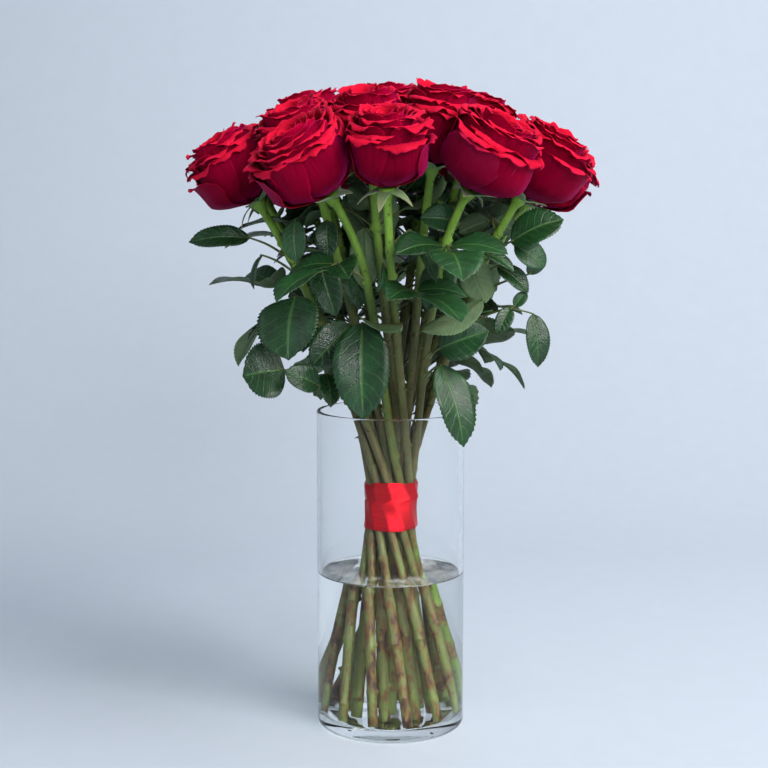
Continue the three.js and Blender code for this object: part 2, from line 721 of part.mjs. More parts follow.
function waterMesh(roses) {
  const inner = vase.radius - vase.wall - gap;
  const profile = [
    [0, foot.height], [inner - vase.corner, foot.height], [inner, foot.height + vase.corner],
    [inner, waterLevel], [0, waterLevel],
  ];
  const body = lathe(profile, vase.sides).rotateX(Math.PI / 2);
  let water = solid(body);
  for (const rose of roses) {
    const wet = [[foot.height - holeStart, stem.footRadius], ...stemRings(rose).slice(1, 3)];
    water = water.subtract(solid(rod(stemSections(rose, gap, wet))));
  }
  const mesh = new THREE.Mesh(geometryOf(water), clearWater);
  mesh.name = 'water';
  return mesh;
}

// The ribbon is a sleeve drawn in at the waist of the bundle.
function ribbonMesh() {
  const { bottom, top, thickness, clearance, sides } = ribbon;
  const bundle = (height) => Math.hypot(waist.reach, waist.slope * (height - waist.height));
  const inner = (height) => bundle(height) + stem.waistRadius + clearance;
  const heights = [bottom, waist.height, top];
  const inside = heights.map((height) => [inner(height), height]);
  const outside = heights.map((height) => [inner(height) + thickness, height]).reverse();
  return turned('ribbon', lathe([...inside, ...outside, inside[0]].reverse(), sides), redSatin);
}

// Materials

const finish = (color, roughness, metalness = 0) => new THREE.MeshStandardMaterial({ color, roughness, metalness });
const clearGlass = finish(0xdfe8ee, 0.03);
clearGlass.transparent = true;
clearGlass.opacity = 0.25;
const clearWater = finish(0xcfdde6, 0.02);
clearWater.transparent = true;
clearWater.opacity = 0.3;
const redSatin = finish(0xc4121b, 0.35);
const petalRed = finish(0xa00a1e, 0.65);
const leafGreen = finish(0x2c5634, 0.4);

const twoDigits = (number) => String(number).padStart(2, '0');

// A leafy stem is one body: the stem, its hip and sepals, its leaf stalks and its leaflets.
function leafyStemMesh(rose, number, leaves) {
  const own = leaves.filter((leaf) => leaf.rose === rose).flatMap((leaf) => leaf.blades);
  const mesh = new THREE.Mesh(fuse([stemBody(rose, number), ...own.map(leafBody)]), leafGreen);
  mesh.name = `stem_${twoDigits(number)}`;
  return mesh;
}

// The whole bouquet in its vase

const roses = layRoses();
const leaves = layLeaves(roses);
const bouquet = new THREE.Group();
roses.forEach((rose, i) => {
  bouquet.add(leafyStemMesh(rose, i + 1, leaves), bloomMesh(roses, rose, i + 1));
});
bouquet.add(ribbonMesh());

const rosesInVase = new THREE.Group();
rosesInVase.add(vaseMesh(), waterMesh(roses), bouquet);

export default rosesInVase;
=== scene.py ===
"""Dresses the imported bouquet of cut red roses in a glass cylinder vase.

Lengths in the layout are millimetres, +Z up, with the origin in the middle of the vase's flat foot and
the viewer at -Y. A bearing is an angle in plan from the viewer's side, in degrees, positive to the
viewer's right. Meshes are made in metres.
"""

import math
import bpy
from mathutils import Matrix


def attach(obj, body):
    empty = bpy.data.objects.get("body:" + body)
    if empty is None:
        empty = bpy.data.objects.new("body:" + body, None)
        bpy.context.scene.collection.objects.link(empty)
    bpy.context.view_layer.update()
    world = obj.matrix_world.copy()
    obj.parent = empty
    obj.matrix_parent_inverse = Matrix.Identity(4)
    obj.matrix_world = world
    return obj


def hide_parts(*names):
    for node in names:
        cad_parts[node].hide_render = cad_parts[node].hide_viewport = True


bl_info = {
    "name": "Roses in a Vase",
    "version": (1, 0, 0),
    "blender": (4, 5, 0),
    "location": "3D View > Sidebar > Roses",
    "description": "Dresses a packed bouquet of cut roses with petals, leaves, satin, glass and water",
    "category": "Object",
}

from types import SimpleNamespace

import bpy
import numpy as np
from bpy.props import FloatProperty, FloatVectorProperty, IntProperty, PointerProperty

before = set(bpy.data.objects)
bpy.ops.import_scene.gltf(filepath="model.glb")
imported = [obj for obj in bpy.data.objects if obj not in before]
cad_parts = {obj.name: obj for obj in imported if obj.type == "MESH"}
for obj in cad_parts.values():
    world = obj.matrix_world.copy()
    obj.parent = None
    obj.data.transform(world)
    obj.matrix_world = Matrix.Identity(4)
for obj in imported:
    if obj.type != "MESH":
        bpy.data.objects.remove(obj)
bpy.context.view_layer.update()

MM = 0.001
BODY = "root"

# The layout of the bouquet, as in the part's source

VASE = SimpleNamespace(radius=60, height=260, wall=3.5, floor=10)
WATER_LEVEL = 126
GAP = 0.3
RIBBON_MIDDLE = 184
WAIST = SimpleNamespace(height=184, reach=16.2, slope=0.3, half=20)
FOOT = SimpleNamespace(height=VASE.floor + GAP, reach=46.5)
STEM = SimpleNamespace(foot_radius=3.8, waist_radius=3.4, neck_radius=3.2, neck_length=58)
BLADE = SimpleNamespace(fold=0.16, arch=0.1)
HEAD_SEAT = 30

# Each head: the bearing and reach of its middle, its height, its lean and lean bearing, width and height.
OUTER_HEADS = [
    (-74, 126, 453, 34, -78, 70, 57),
    (-30, 121, 456, 38, -55, 80, 60),
    (-2, 115, 466, 18, -5, 64, 58),
    (37, 120, 461, 33, 60, 80, 60),
    (66, 127, 456, 35, 70, 74, 58),
    (93, 128, 451, 38, 95, 70, 57),
    (124, 125, 456, 32, 122, 76, 58),
    (157, 123, 459, 30, 160, 77, 58),
    (189, 123, 458, 31, 186, 75, 58),
    (221, 124, 457, 32, 224, 77, 58),
    (254, 124, 455, 34, 252, 74, 57),
]
INNER_HEADS = [
    (-54, 84, 474, 22, -52, 72, 58),
    (-17, 58, 484, 14, -17, 70, 58),
    (33, 65, 484, 12, 40, 70, 60),
    (95, 65, 484, 16, 95, 76, 58),
    (153, 70, 484, 16, 153, 74, 58),
    (207, 72, 483, 17, 207, 76, 58),
    (262, 63, 484, 15, 262, 74, 58),
]
MIDDLE_HEAD = (180, 5, 489, 4, 0, 76, 60)
WAIST_TURN = 81
INNER_SHARE = 0.55
FIRST_SLOT = SimpleNamespace(outer=-69, inner=-57)
# Leaves that the viewer sees. A leaflet is its base, tip, width, and the bearing and rise that it faces. The
# one at the far left is a little wider here than in the part's source, and faces less upwards.
FRONT_LEAVES = [
    [(-22, -68, 336, -21, -84, 264, 44, -5, 20)],
    [(-73, -62, 355, -77, -84, 309, 53, -25, 25)],
    [(-82, -52, 298, -114, -60, 294, 46, -35, 10)],
    [(-55, -62, 287, -81, -72, 299, 22, 0, 25)],
    [(-50, -46, 294, -46, -66, 271, 19, 20, 5)],
    [(-31, -48, 333, -61, -58, 302, 32, 10, 20)],
    [(-55, -54, 384, -42, -60, 340, 25, -10, 15)],
    [(-49, -53, 413, -48, -58, 384, 19, -5, 15)],
    [(-73, -60, 413, -71, -68, 381, 20, -20, 20)],
    [(-21, -35, 407, -20, -42, 359, 24, 180, 0)],
    [(8, -68, 334, -24, -87, 342, 20, 180, -70)],
    [(-6, -83, 381, -11, -86, 360, 10, 60, 0)],
    [(52, -62, 411, 22, -68, 415, 25, 10, 30)],
    [(14, -74, 406, 34, -84, 367, 14, 30, 20)],
    [(43, -58, 382, 27, -70, 346, 28, 0, 20)],
    [(61, -49, 385, 73, -56, 350, 27, 190, 0)],
    [(70, -62, 353, 23, -92, 331, 24, 180, -55)],
    [(37, -50, 314, 75, -60, 329, 32, 15, 20)],
    [(38, -52, 302, 56, -66, 240, 32, 25, 10)],
    [(91, -62, 397, 130, -68, 414, 32, 15, 40), (94, -58, 394, 118, -56, 378, 22, 30, 10)],
    [(68, -62, 390, 93, -70, 375, 14, 20, 50)],
    [(82, -47, 378, 106, -50, 358, 18, 20, 30)],
    [
        (92, -50, 346, 81, -58, 326, 14, 0, 15),
        (95, -50, 347, 105, -48, 358, 10, 10, 30),
        (110, -47, 341, 114, -50, 300, 20, 15, 15),
    ],
    [(107, -36, 371, 118, -38, 391, 15, 30, 10)],
    [(-110, -30, 399, -157, -34, 396, 20, -20, 28)],
    [(-100, -39, 386, -106, -46, 360, 11, -60, 10)],
]

# The drawn leaves: those that the part's source draws too, and two denser fillings that are only drawn here.
# Each pair is the bounds of a draw: the height where a leaf starts, its bearing from straight out, the rise
# and reach of its stalk, its size, the rise that its leaflets hang at, and the rise of the way it faces.
FILL_LEAVES = SimpleNamespace(
    seed=20417, per_stem=1, tries=60, height=(286, 405), swing=(-75, 75), rise=(5, 45), reach=(18, 32),
    size=(0.85, 1.2), hang=(-55, 5), face=(20, 60),
)
UPPER_LEAVES = SimpleNamespace(
    seed=3371, per_stem=7, tries=24, height=(380, 442), swing=(-150, 150), rise=(0, 60), reach=(8, 24),
    size=(0.6, 1.0), hang=(-60, 50), face=(0, 35),
)
INNER_LEAVES = SimpleNamespace(
    seed=9173, per_stem=14, tries=60, height=(285, 430), swing=(-120, 120), rise=(0, 50), reach=(10, 28),
    size=(0.6, 1.05), hang=(-65, 20), face=(10, 70),
)

# Their leaflets: the swing from the leaf's bearing, the distance from the fork, the length and the width.
FILL_LEAFLETS = [(0, 12, 50, 34), (-62, 3, 38, 27), (62, 3, 38, 27)]
PAIR = SimpleNamespace(lift=12, turn=0.3)

# How far drawn leaves stay clear of other things, and how close those come before they are compared.
LEAF_CLEARANCE = SimpleNamespace(head=5, stem=1.2, wall=3, leaf=1.6)
FILLING_CLEARANCE = SimpleNamespace(head=1, stem=0.6, wall=2, leaf=0.6)
NEAR = SimpleNamespace(leaf=5, net=4)

# The fillings stay within this outline, which widens upwards, and behind the front stems and the front heads.
FILLING = SimpleNamespace(
    reach=84, bottom=270, widening=0.14, stems_top=330, behind_stems=14, behind_heads=-46,
)

# A leaf's stalk: how far below it its stem is looked for, how far it drops to that stem, and its bend.
STALK = SimpleNamespace(radius=1.1, look_down=10, drop=8, drop_share=0.3, bend_at=0.55, bend=0.12)

# The coarse net over a leaflet: rows of shares along and across, its spare width, and its reach.
NET = SimpleNamespace(rows=((0.04, 0.25), (0.3, 0.95), (0.62, 0.95), (1.02, 0.1)), wider=1.05, reach=0.56)
STEM_RODS = 12

# Each kind of draw has its own seeds, a step apart from one rose to the next.
SEEDS = SimpleNamespace(sepals=3001, petals=7001, step=97, stems=517, edges=4219, leaf_span=3000)


# Small helpers on points, which are numpy arrays

def vec(x, y, z):
    return np.array((x, y, z), float)


def unit(v):
    return v / np.linalg.norm(v, axis=-1, keepdims=True)


def dot(a, b):
    return (a * b).sum(-1)


def mix(a, b, share):
    return a + (b - a) * share


def smooth(value, low, high):
    """Rises from 0 to 1 between two bounds, level at both."""
    share = np.clip((value - low) / (high - low), 0, 1)
    return share * share * (3 - 2 * share)


def hump(value, middle, spread):
    """Rises to 1 at a middle and falls off on both sides."""
    return np.exp(-((value - middle) / spread) ** 2)


def laid(origin, *parts):
    """Points at an origin plus some amounts, each along its own axis."""
    points = origin
    for amount, axis in parts:
        points = points + np.asarray(amount)[..., None] * axis
    return points


def stacked(x, y, z):
    """Three arrays spread over one grid and stacked, into points or into the fields that materials read."""
    return np.stack(np.broadcast_arrays(x, y, z), -1)


def all_round(sides):
    """Angles evenly spaced all the way round."""
    return np.linspace(0, 2 * math.pi, sides, endpoint=False)


def heading(bearing):
    """The level unit vector of a bearing."""
    turn = math.radians(bearing)
    return vec(math.sin(turn), -math.cos(turn), 0)


def turning(bearing):
    """The level unit vector that a growing bearing turns towards."""
    turn = math.radians(bearing)
    return vec(math.cos(turn), math.sin(turn), 0)


def looking(bearing, rise):
    return heading(bearing) * math.cos(math.radians(rise)) + vec(0, 0, math.sin(math.radians(rise)))


def seeded_random(seed):
    """A repeatable stream of numbers between two bounds."""
    state = seed

    def draw(low, high):
        nonlocal state
        state = state * 16807 % 2147483647
        return low + (high - low) * state / 2147483647

    return draw


def hermite(start, start_slope, end, end_slope, span, share):
    s2 = share * share
    s3 = s2 * share
    return ((2 * s3 - 3 * s2 + 1) * start + (s3 - 2 * s2 + share) * span * start_slope
            + (3 * s2 - 2 * s3) * end + (s3 - s2) * span * end_slope)


# The layout of the roses and their stems

def lay_rose(row, ring, slot):
    bearing, reach, height, lean, lean_bearing, width, tall = row
    centre = heading(bearing) * reach + vec(0, 0, height)
    axis = looking(lean_bearing, 90 - lean)
    return SimpleNamespace(centre=centre, axis=axis, base=centre - axis * HEAD_SEAT, width=width, tall=tall,
                           ring=ring, slot=slot + WAIST_TURN)


def lay_roses():
    rings = ((OUTER_HEADS, 1, FIRST_SLOT.outer), (INNER_HEADS, INNER_SHARE, FIRST_SLOT.inner))
    roses = []
    for rows, ring, first in rings:
        roses += [lay_rose(row, ring, first + i * 360 / len(rows)) for i, row in enumerate(rows)]
    return roses + [lay_rose(MIDDLE_HEAD, 0, 0)]


def stem_at(rose, height):
    """The middle of a stem at a height: straight through the waist, eased to the foot and to the neck."""
    out = heading(rose.slot) * rose.ring * WAIST.reach
    along = turning(rose.slot) * -rose.ring * WAIST.slope
    low, high = WAIST.height - WAIST.half, WAIST.height + WAIST.half
    if height < low:
        low_point = out - along * WAIST.half
        end = out + turning(rose.slot) * math.sqrt(FOOT.reach ** 2 - WAIST.reach ** 2) * rose.ring
        drop = (end - low_point) / (FOOT.height - low)
        return ease_point(end, drop, low_point, along, FOOT.height, low, height)
    if height <= high:
        return level(out + along * (height - WAIST.height), height)
    high_point = out + along * WAIST.half
    head_slope = vec(rose.axis[0] / rose.axis[2], rose.axis[1] / rose.axis[2], 0)
    base = level(rose.base, 0)
    straight = (base - high_point) / (rose.base[2] - high)
    neck = base - mix(straight, head_slope, 0.5) * STEM.neck_length
    neck_height = rose.base[2] - STEM.neck_length
    if height < neck_height:
        return ease_point(high_point, along, neck, straight, high, neck_height, height)
    return ease_point(neck, straight, base, head_slope, neck_height, rose.base[2], height)


def level(point, height):
    return vec(point[0], point[1], height)


def ease_point(start, start_slope, end, end_slope, low, high, height):
    span = high - low
    return level(hermite(start, start_slope, end, end_slope, span, (height - low) / span), height)


# The layout of the leaves

def lay_leaflet(numbers):
    bx, by, bz, tx, ty, tz, width, bearing, rise = numbers
    base, tip = vec(bx, by, bz), vec(tx, ty, tz)
    length = float(np.linalg.norm(tip - base))
    axis = (tip - base) / length
    face = looking(bearing, rise)
    normal = unit(face - axis * face.dot(axis))
    return SimpleNamespace(base=base, axis=axis, normal=normal, side=np.cross(axis, normal), length=length,
                           width=width)


def leaf_point(leaflet, along, across, above=0.0):
    """A point of a leaflet's middle surface, by shares of its length and of its half width."""
    lift = BLADE.arch * leaflet.length * np.sin(math.pi * along)
    lift = lift + BLADE.fold * leaflet.width * 0.5 * np.abs(across) + above
    return laid(leaflet.base, (along * leaflet.length, leaflet.axis),
                (across * leaflet.width * 0.5, leaflet.side), (lift, leaflet.normal))


def lay_leaf(roses, leaflets, fork=None, owner=None, filling=False):
    """A leaf's stalk rises to its fork from a node of the stem that it belongs to."""
    parting = leaflets[0].base if fork is None else fork
    rose = nearest_rose(roses, parting) if owner is None else owner
    near = stem_at(rose, parting[2] - STALK.look_down)
    drop = STALK.drop + STALK.drop_share * math.hypot(parting[0] - near[0], parting[1] - near[1])
    root = stem_at(rose, parting[2] - drop)
    bend = mix(root, parting, STALK.bend_at) + vec(0, 0, drop * STALK.bend)
    main = [root, bend, parting] if fork is None else [root, bend, fork, leaflets[0].base]
    stalks = [main] + [[parting, leaflet.base] for leaflet in leaflets[1:]]
    leaf = SimpleNamespace(rose=rose, leaflets=leaflets, stalks=stalks, filling=filling)
    leaf.nets = [leaf_net(leaflet) for leaflet in leaflets]
    rods = [(a, b) for stalk in stalks for a, b in zip(stalk, stalk[1:])]
    leaf.rods = (np.array([a for a, _ in rods]), np.array([b for _, b in rods]))
    points = np.concatenate([*leaf.rods, *(net.points for net in leaf.nets)])
    leaf.middle = points.mean(0)
    leaf.reach = np.linalg.norm(points - leaf.middle, axis=-1).max()
    return leaf


def nearest_rose(roses, point):
    return min(roses, key=lambda rose: np.linalg.norm(stem_at(rose, point[2] - STALK.look_down) - point))


def leaf_net(leaflet):
    """A coarse net over a leaflet, a little larger than the blade: its points, triangles and edges."""
    points = np.array([leaf_point(leaflet, along, side * across * NET.wider)
                       for along, across in NET.rows for side in (-1, 0, 1)])
    triangles = []
    for row in range(len(NET.rows) - 1):
        for side in range(2):
            a = 3 * row + side
            triangles += [(a, a + 1, a + 4), (a, a + 4, a + 3)]
    corners = points[np.array(triangles)]
    edges = (corners.reshape(-1, 3), np.roll(corners, -1, axis=1).reshape(-1, 3))
    return SimpleNamespace(points=points, corners=corners, edges=edges, middle=leaf_point(leaflet, 0.5, 0.0),
                           reach=max(leaflet.length, leaflet.width) * NET.reach)


def any_cross(starts, ends, corners):
    """Whether any of some segments goes through any of some triangles."""
    if not len(starts) or not len(corners):
        return False
    way = (ends - starts)[:, None]
    a = corners[None, :, 0]
    edge1, edge2 = corners[None, :, 1] - a, corners[None, :, 2] - a
    p = np.cross(way, edge2)
    det = dot(edge1, p)
    flat = np.abs(det) < 1e-9
    det = np.where(flat, 1, det)
    s = starts[:, None] - a
    q = np.cross(s, edge1)
    u, v, t = dot(s, p) / det, dot(way, q) / det, dot(edge2, q) / det
    return bool((~flat & (u >= 0) & (v >= 0) & (u + v <= 1) & (t >= 0) & (t <= 1)).any())


def to_segments(points, starts, ends):
    """The distance from each of some points to each of some segments."""
    way = (ends - starts)[None]
    share = dot(points[:, None] - starts[None], way) / dot(way, way)
    nearest = starts[None] + way * np.clip(share, 0, 1)[..., None]
    return np.linalg.norm(points[:, None] - nearest, axis=-1)


def nets_meet(one, other, clearance):
    if np.linalg.norm(one.middle - other.middle) > one.reach + other.reach + NEAR.net:
        return False
    apart = np.linalg.norm(one.points[:, None] - other.points[None], axis=-1)
    if apart.min() < 2.5 * clearance.leaf:
        return True
    return any_cross(*one.edges, other.corners) or any_cross(*other.edges, one.corners)


def rods_meet_net(rods, net, clear):
    starts, ends = rods
    near = to_segments(net.middle[None], starts, ends)[0] <= net.reach + clear + NEAR.net
    if not near.any():
        return False
    starts, ends = starts[near], ends[near]
    return to_segments(net.points, starts, ends).min() < clear or any_cross(starts, ends, net.corners)


def stem_rods(roses):
    """Every stem's middle line above the waist, in a few straight pieces each."""
    starts, ends = [], []
    for rose in roses:
        points = [stem_at(rose, mix(WAIST.height, rose.base[2], i / STEM_RODS)) for i in range(STEM_RODS + 1)]
        starts.append(points[:-1])
        ends.append(points[1:])
    return np.array(starts), np.array(ends)


def net_is_clear(net, roses, clearance):
    """Whether a leaflet keeps clear of the vase and of the heads."""
    points = net.points
    in_vase = points[:, 2] < VASE.height + clearance.wall
    if (in_vase & (np.hypot(points[:, 0], points[:, 1]) < VASE.radius + clearance.wall)).any():
        return False
    centres = np.array([rose.centre for rose in roses])
    halves = np.array([rose.width / 2 for rose in roses])
    return not (np.linalg.norm(points[:, None] - centres[None], axis=-1) < halves + clearance.head).any()


def leaves_meet(leaf, other, clearance):
    if np.linalg.norm(other.middle - leaf.middle) > other.reach + leaf.reach + NEAR.leaf:
        return False
    clear = STALK.radius + clearance.leaf
    for net in leaf.nets:
        if rods_meet_net(other.rods, net, clear):
            return True
        if any(nets_meet(net, there, clearance) for there in other.nets):
            return True
    return any(rods_meet_net(leaf.rods, net, clear) for net in other.nets)


def leaf_is_clear(leaf, roses, rods, placed, clearance):
    if not all(net_is_clear(net, roses, clearance) for net in leaf.nets):
        return False
    if leaf.filling and any(sticks_out(net.points) for net in leaf.nets):
        return False
    clear = STEM.waist_radius + clearance.stem
    flat = (rods[0].reshape(-1, 3), rods[1].reshape(-1, 3))
    if any(rods_meet_net(flat, net, clear) for net in leaf.nets):
        return False
    own = next(i for i, rose in enumerate(roses) if rose is leaf.rose)
    others = [np.delete(ends, own, axis=0).reshape(-1, 3) for ends in rods]
    a, b = leaf.rods
    if to_segments(np.concatenate([a, (a + b) / 2, b]), *others).min() < clear + STALK.radius:
        return False
    return not any(leaves_meet(leaf, other, clearance) for other in placed)


def sticks_out(points):
    """Whether a leaf of the fillings leaves their outline, or comes before the front stems or heads."""
    x, y, z = points.T
    wide = np.hypot(x, y) > FILLING.reach + FILLING.widening * (z - FILLING.bottom)
    ahead = y < np.where(z < FILLING.stems_top, FILLING.behind_stems, FILLING.behind_heads)
    return bool((wide | ahead).any())


def draw_leaf(roses, rose, draw, rule, filling):
    """A drawn leaf of three leaflets: a pair at the fork, and the end one beyond it."""
    start = stem_at(rose, draw(*rule.height))
    outward = draw(0, 360) if rose.ring == 0 else math.degrees(math.atan2(start[0], -start[1]))
    bearing = outward + draw(*rule.swing)
    way = looking(bearing, draw(*rule.rise))
    fork = start + way * draw(*rule.reach)
    size = draw(*rule.size)
    hang = draw(*rule.hang)
    face = draw(*rule.face)
    leaflets = []
    for swing, away, length, width in FILL_LEAFLETS:
        way = looking(bearing + swing, hang + (PAIR.lift if swing else 0))
        base = fork + way * away
        tip = base + way * length * size
        leaflets.append(lay_leaflet((*base, *tip, width * size, bearing + swing * PAIR.turn, face)))
    return lay_leaf(roses, leaflets, fork, rose, filling)


def lay_leaves(roses):
    """A leaf of the fillings that has no room for three leaflets keeps the end one alone."""
    placed = [lay_leaf(roses, [lay_leaflet(row) for row in leaflets]) for leaflets in FRONT_LEAVES]
    rods = stem_rods(roses)
    rules = ((FILL_LEAVES, LEAF_CLEARANCE, False), (UPPER_LEAVES, FILLING_CLEARANCE, True),
             (INNER_LEAVES, FILLING_CLEARANCE, True))
    for rule, clearance, filling in rules:
        draw = seeded_random(rule.seed)
        for rose in roses * rule.per_stem:
            for _ in range(rule.tries):
                leaf = draw_leaf(roses, rose, draw, rule, filling)
                if filling and not leaf_is_clear(leaf, roses, rods, placed, clearance):
                    leaf = lay_leaf(roses, leaf.leaflets[:1], owner=rose, filling=True)
                if leaf_is_clear(leaf, roses, rods, placed, clearance):
                    placed.append(leaf)
                    break
    return placed


# Meshes

NO_FIELD = (0, 0, 0)

# The places of the materials in the leafy stems and in the blooms
BARK, SEPAL_FACE, SEPAL_BACK, LEAF_FACE, LEAF_BACK = range(5)
PETAL_FACE, PETAL_BACK = range(2)


class Skin:
    """Gathers points in millimetres, faces with their material, and a field of three numbers a point."""

    def __init__(self):
        self.points, self.fields, self.faces, self.materials, self.smooth = [], [], [], [], []
        self.count = 0

    def add_points(self, points, field):
        points = np.asarray(points, float).reshape(-1, 3)
        self.points.append(points)
        self.fields.append(np.broadcast_to(np.asarray(field, float).reshape(-1, 3), points.shape))
        first = self.count
        self.count += len(points)
        return first

    def add_faces(self, faces, material=0, smooth_shade=True):
        faces = np.asarray(faces)
        self.faces += faces.tolist()
        self.materials += [material] * len(faces)
        self.smooth += [smooth_shade] * len(faces)

    def make(self, name, materials):
        mesh = bpy.data.meshes.new(name)
        points = np.concatenate(self.points) * MM
        mesh.from_pydata(points.tolist(), [], self.faces)
        mesh.polygons.foreach_set("material_index", self.materials)
        mesh.polygons.foreach_set("use_smooth", self.smooth)
        place = mesh.attributes.new("place", "FLOAT_VECTOR", "POINT")
        place.data.foreach_set("vector", np.concatenate(self.fields).astype(np.float32).ravel())
        for material in materials:
            mesh.materials.append(material)
        mesh.update()
        piece = bpy.data.objects.new(name, mesh)
        bpy.context.scene.collection.objects.link(piece)
        return piece


def dress(piece, slot, *nodes):
    """Tells the frame what a piece rides on and stands for. Its slot, the finish that it is made in, is not
    used.
    """
    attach(piece, BODY)
    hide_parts(*nodes)
    return piece


def grid_shares(rows, columns, first=-1):
    """The shares along a grid, as a column, and those across it, as a row."""
    return np.linspace(0, 1, rows)[:, None], np.linspace(first, 1, columns)[None, :]


def grid_faces(rows, columns, first, close=False):
    """The quads of a grid of points, its columns joined round into a ring where it closes."""
    i, j = np.meshgrid(np.arange(rows - 1), np.arange(columns if close else columns - 1), indexing="ij")
    i, j = i.ravel(), j.ravel()
    k = (j + 1) % columns
    below, above = i * columns, (i + 1) * columns
    return first + np.stack([below + j, above + j, above + k, below + k], -1)


def grid_normals(grid):
    along, across = np.gradient(grid, axis=0), np.gradient(grid, axis=1)
    normal = np.cross(along, across)
    return normal / np.maximum(np.linalg.norm(normal, axis=-1, keepdims=True), 1e-9)


def add_sheet(skin, grid, thickness, field, upper=0, lower=0):
    """A thin closed sheet on a grid of points, its upper face to the side of rows crossed with columns.

    The quads of both faces start at the same corner, so that they split alike and never cross."""
    rows, columns = grid.shape[:2]
    offset = grid_normals(grid) * np.asarray(thickness)[..., None] / 2
    top = skin.add_points(grid + offset, field)
    under = skin.add_points(grid - offset, field)
    skin.add_faces(grid_faces(rows, columns, top), upper)
    skin.add_faces(grid_faces(rows, columns, under)[:, (0, 3, 2, 1)], lower)
    at = np.arange(rows * columns).reshape(rows, columns)
    border = np.concatenate([at[:-1, 0], at[-1, :-1], at[:0:-1, -1], at[0, :0:-1]])
    after = np.roll(border, -1)
    skin.add_faces(np.stack([under + border, under + after, top + after, top + border], -1), upper, False)


def add_tube(skin, centres, radii, sides, field, reference=(1, 0, 0)):
    """A closed tube of bark along some points. Its radii are one a point, or one for each point and side."""
    centres, reference = np.asarray(centres, float), np.asarray(reference, float)
    way = unit(np.gradient(centres, axis=0))
    right = unit(reference - way * (way @ reference)[:, None])
    ahead = np.cross(way, right)
    turn = all_round(sides)[None, :, None]
    radii = np.asarray(radii, float).reshape(len(centres), -1, 1)
    rings = centres[:, None] + radii * (np.cos(turn) * right[:, None] + np.sin(turn) * ahead[:, None])
    first = skin.add_points(rings, field)
    last = first + (len(centres) - 1) * sides
    skin.add_faces(grid_faces(len(centres), sides, first, close=True)[:, ::-1], BARK)
    skin.add_faces([[first + i for i in range(sides)][::-1]], BARK)
    skin.add_faces([[last + i for i in range(sides)]], BARK)


def turned_skin(profile, sides):
    """A solid of revolution about Z. Its profile starts and ends on the axis and runs anticlockwise."""
    skin = Skin()
    inner = np.asarray(profile[1:-1], float)
    turn = all_round(sides)
    rings = stacked(inner[:, :1] * np.cos(turn), inner[:, :1] * np.sin(turn), inner[:, 1:])
    low = skin.add_points([(0, 0, profile[0][1])], NO_FIELD)
    high = skin.add_points([(0, 0, profile[-1][1])], NO_FIELD)
    first = skin.add_points(rings, NO_FIELD)
    skin.add_faces(grid_faces(len(inner), sides, first, close=True)[:, ::-1])
    ring = np.arange(sides)
    after = (ring + 1) % sides
    last = first + (len(inner) - 1) * sides
    skin.add_faces(np.stack([np.full(sides, low), first + after, first + ring], -1))
    skin.add_faces(np.stack([np.full(sides, high), last + ring, last + after], -1))
    return skin


def rounded(corners):
    """A profile with its corners rounded: each is a point and the length that its rounding takes."""
    steps = 6
    points = []
    for i, (x, y, cut) in enumerate(corners):
        here = np.array((x, y), float)
        if not cut or i in (0, len(corners) - 1):
            points.append(tuple(here))
            continue
        before = here + cut * unit(np.array(corners[i - 1][:2], float) - here)
        after = here + cut * unit(np.array(corners[i + 1][:2], float) - here)
        for step in range(steps + 1):
            share = step / steps
            points.append(tuple(mix(mix(before, here, share), mix(here, after, share), share)))
    return firm(points)


def firm(points):
    """Adds points close to both ends of each long run, so that shading stays true along it."""
    margin = 0.35
    kept = [points[0]]
    for start, end in zip(points, points[1:]):
        start, end = np.array(start), np.array(end)
        length = np.linalg.norm(end - start)
        if length > 4 * margin:
            kept += [tuple(mix(start, end, margin / length)), tuple(mix(end, start, margin / length))]
        kept.append(tuple(end))
    return kept


# Materials. Patterns have so many features a metre, and reliefs are in metres.

PATTERN = SimpleNamespace(
    petal_patches=60.0, velvet=1900.0, leaf_patches=70.0, leaf_cells=620.0, leaf_spots=38.0, leaf_shine=130.0,
    vein_wander=90.0, scars=120.0, specks=300.0, down=160.0, waves=18.0, painted_glints=55.0, fibres=40.0,
)
RELIEF = SimpleNamespace(
    velvet=0.00006, petal_veins=0.0008, leaf_veins=-0.0006, leaf_face=0.0004, leaf_back=-0.00025,
    scars=0.0005, streaks=0.0007, down=0.0004, weave=0.00012, folds=0.0006, glass=0.0001, water=0.00015,
    surface=0.0008,
)
PETAL_DUST = (0.25, 0.008, 0.045)
PETAL_GLINT = (1.0, 0.1, 0.35, 1)
PETAL_SHEEN = (1.0, 0.03, 0.4, 1)
CLEAR_GLINT = (0.2, 0.2, 0.2, 1)
LEAF_BROWN = (0.075, 0.035, 0.014)
STEM_AGES = [
    (0.0, (0.17, 0.33, 0.035)), (0.3, (0.13, 0.23, 0.03)), (0.55, (0.13, 0.155, 0.03)),
    (0.78, (0.115, 0.09, 0.036)), (1.0, (0.085, 0.048, 0.036)),
]
STEM_BROWN = (0.1, 0.066, 0.05)
SEPAL_INSIDE = [(0.1, (0.11, 0.21, 0.05)), (0.6, (0.19, 0.29, 0.11)), (1.0, (0.22, 0.24, 0.11))]
SEPAL_OUTSIDE = [(0.1, (0.09, 0.2, 0.03)), (0.6, (0.11, 0.2, 0.05)), (1.0, (0.15, 0.15, 0.06))]
SCAR = (0.105, 0.048, 0.012)
SCAR_CORE = (0.028, 0.014, 0.008)
SPECK = (0.03, 0.014, 0.008)
WATER_TINT = (0.97, 0.985, 0.975)
# How far the water's surface is painted with whitish glints, a painted reflection.
PAINTED_SURFACE_GLINTS = 0.25
GLASS_IOR = 1.5
WATER_IOR = 1.33

# The side veins of a leaf, which its swellings follow too.
VEINS = SimpleNamespace(count=7.0, slant=1.6)

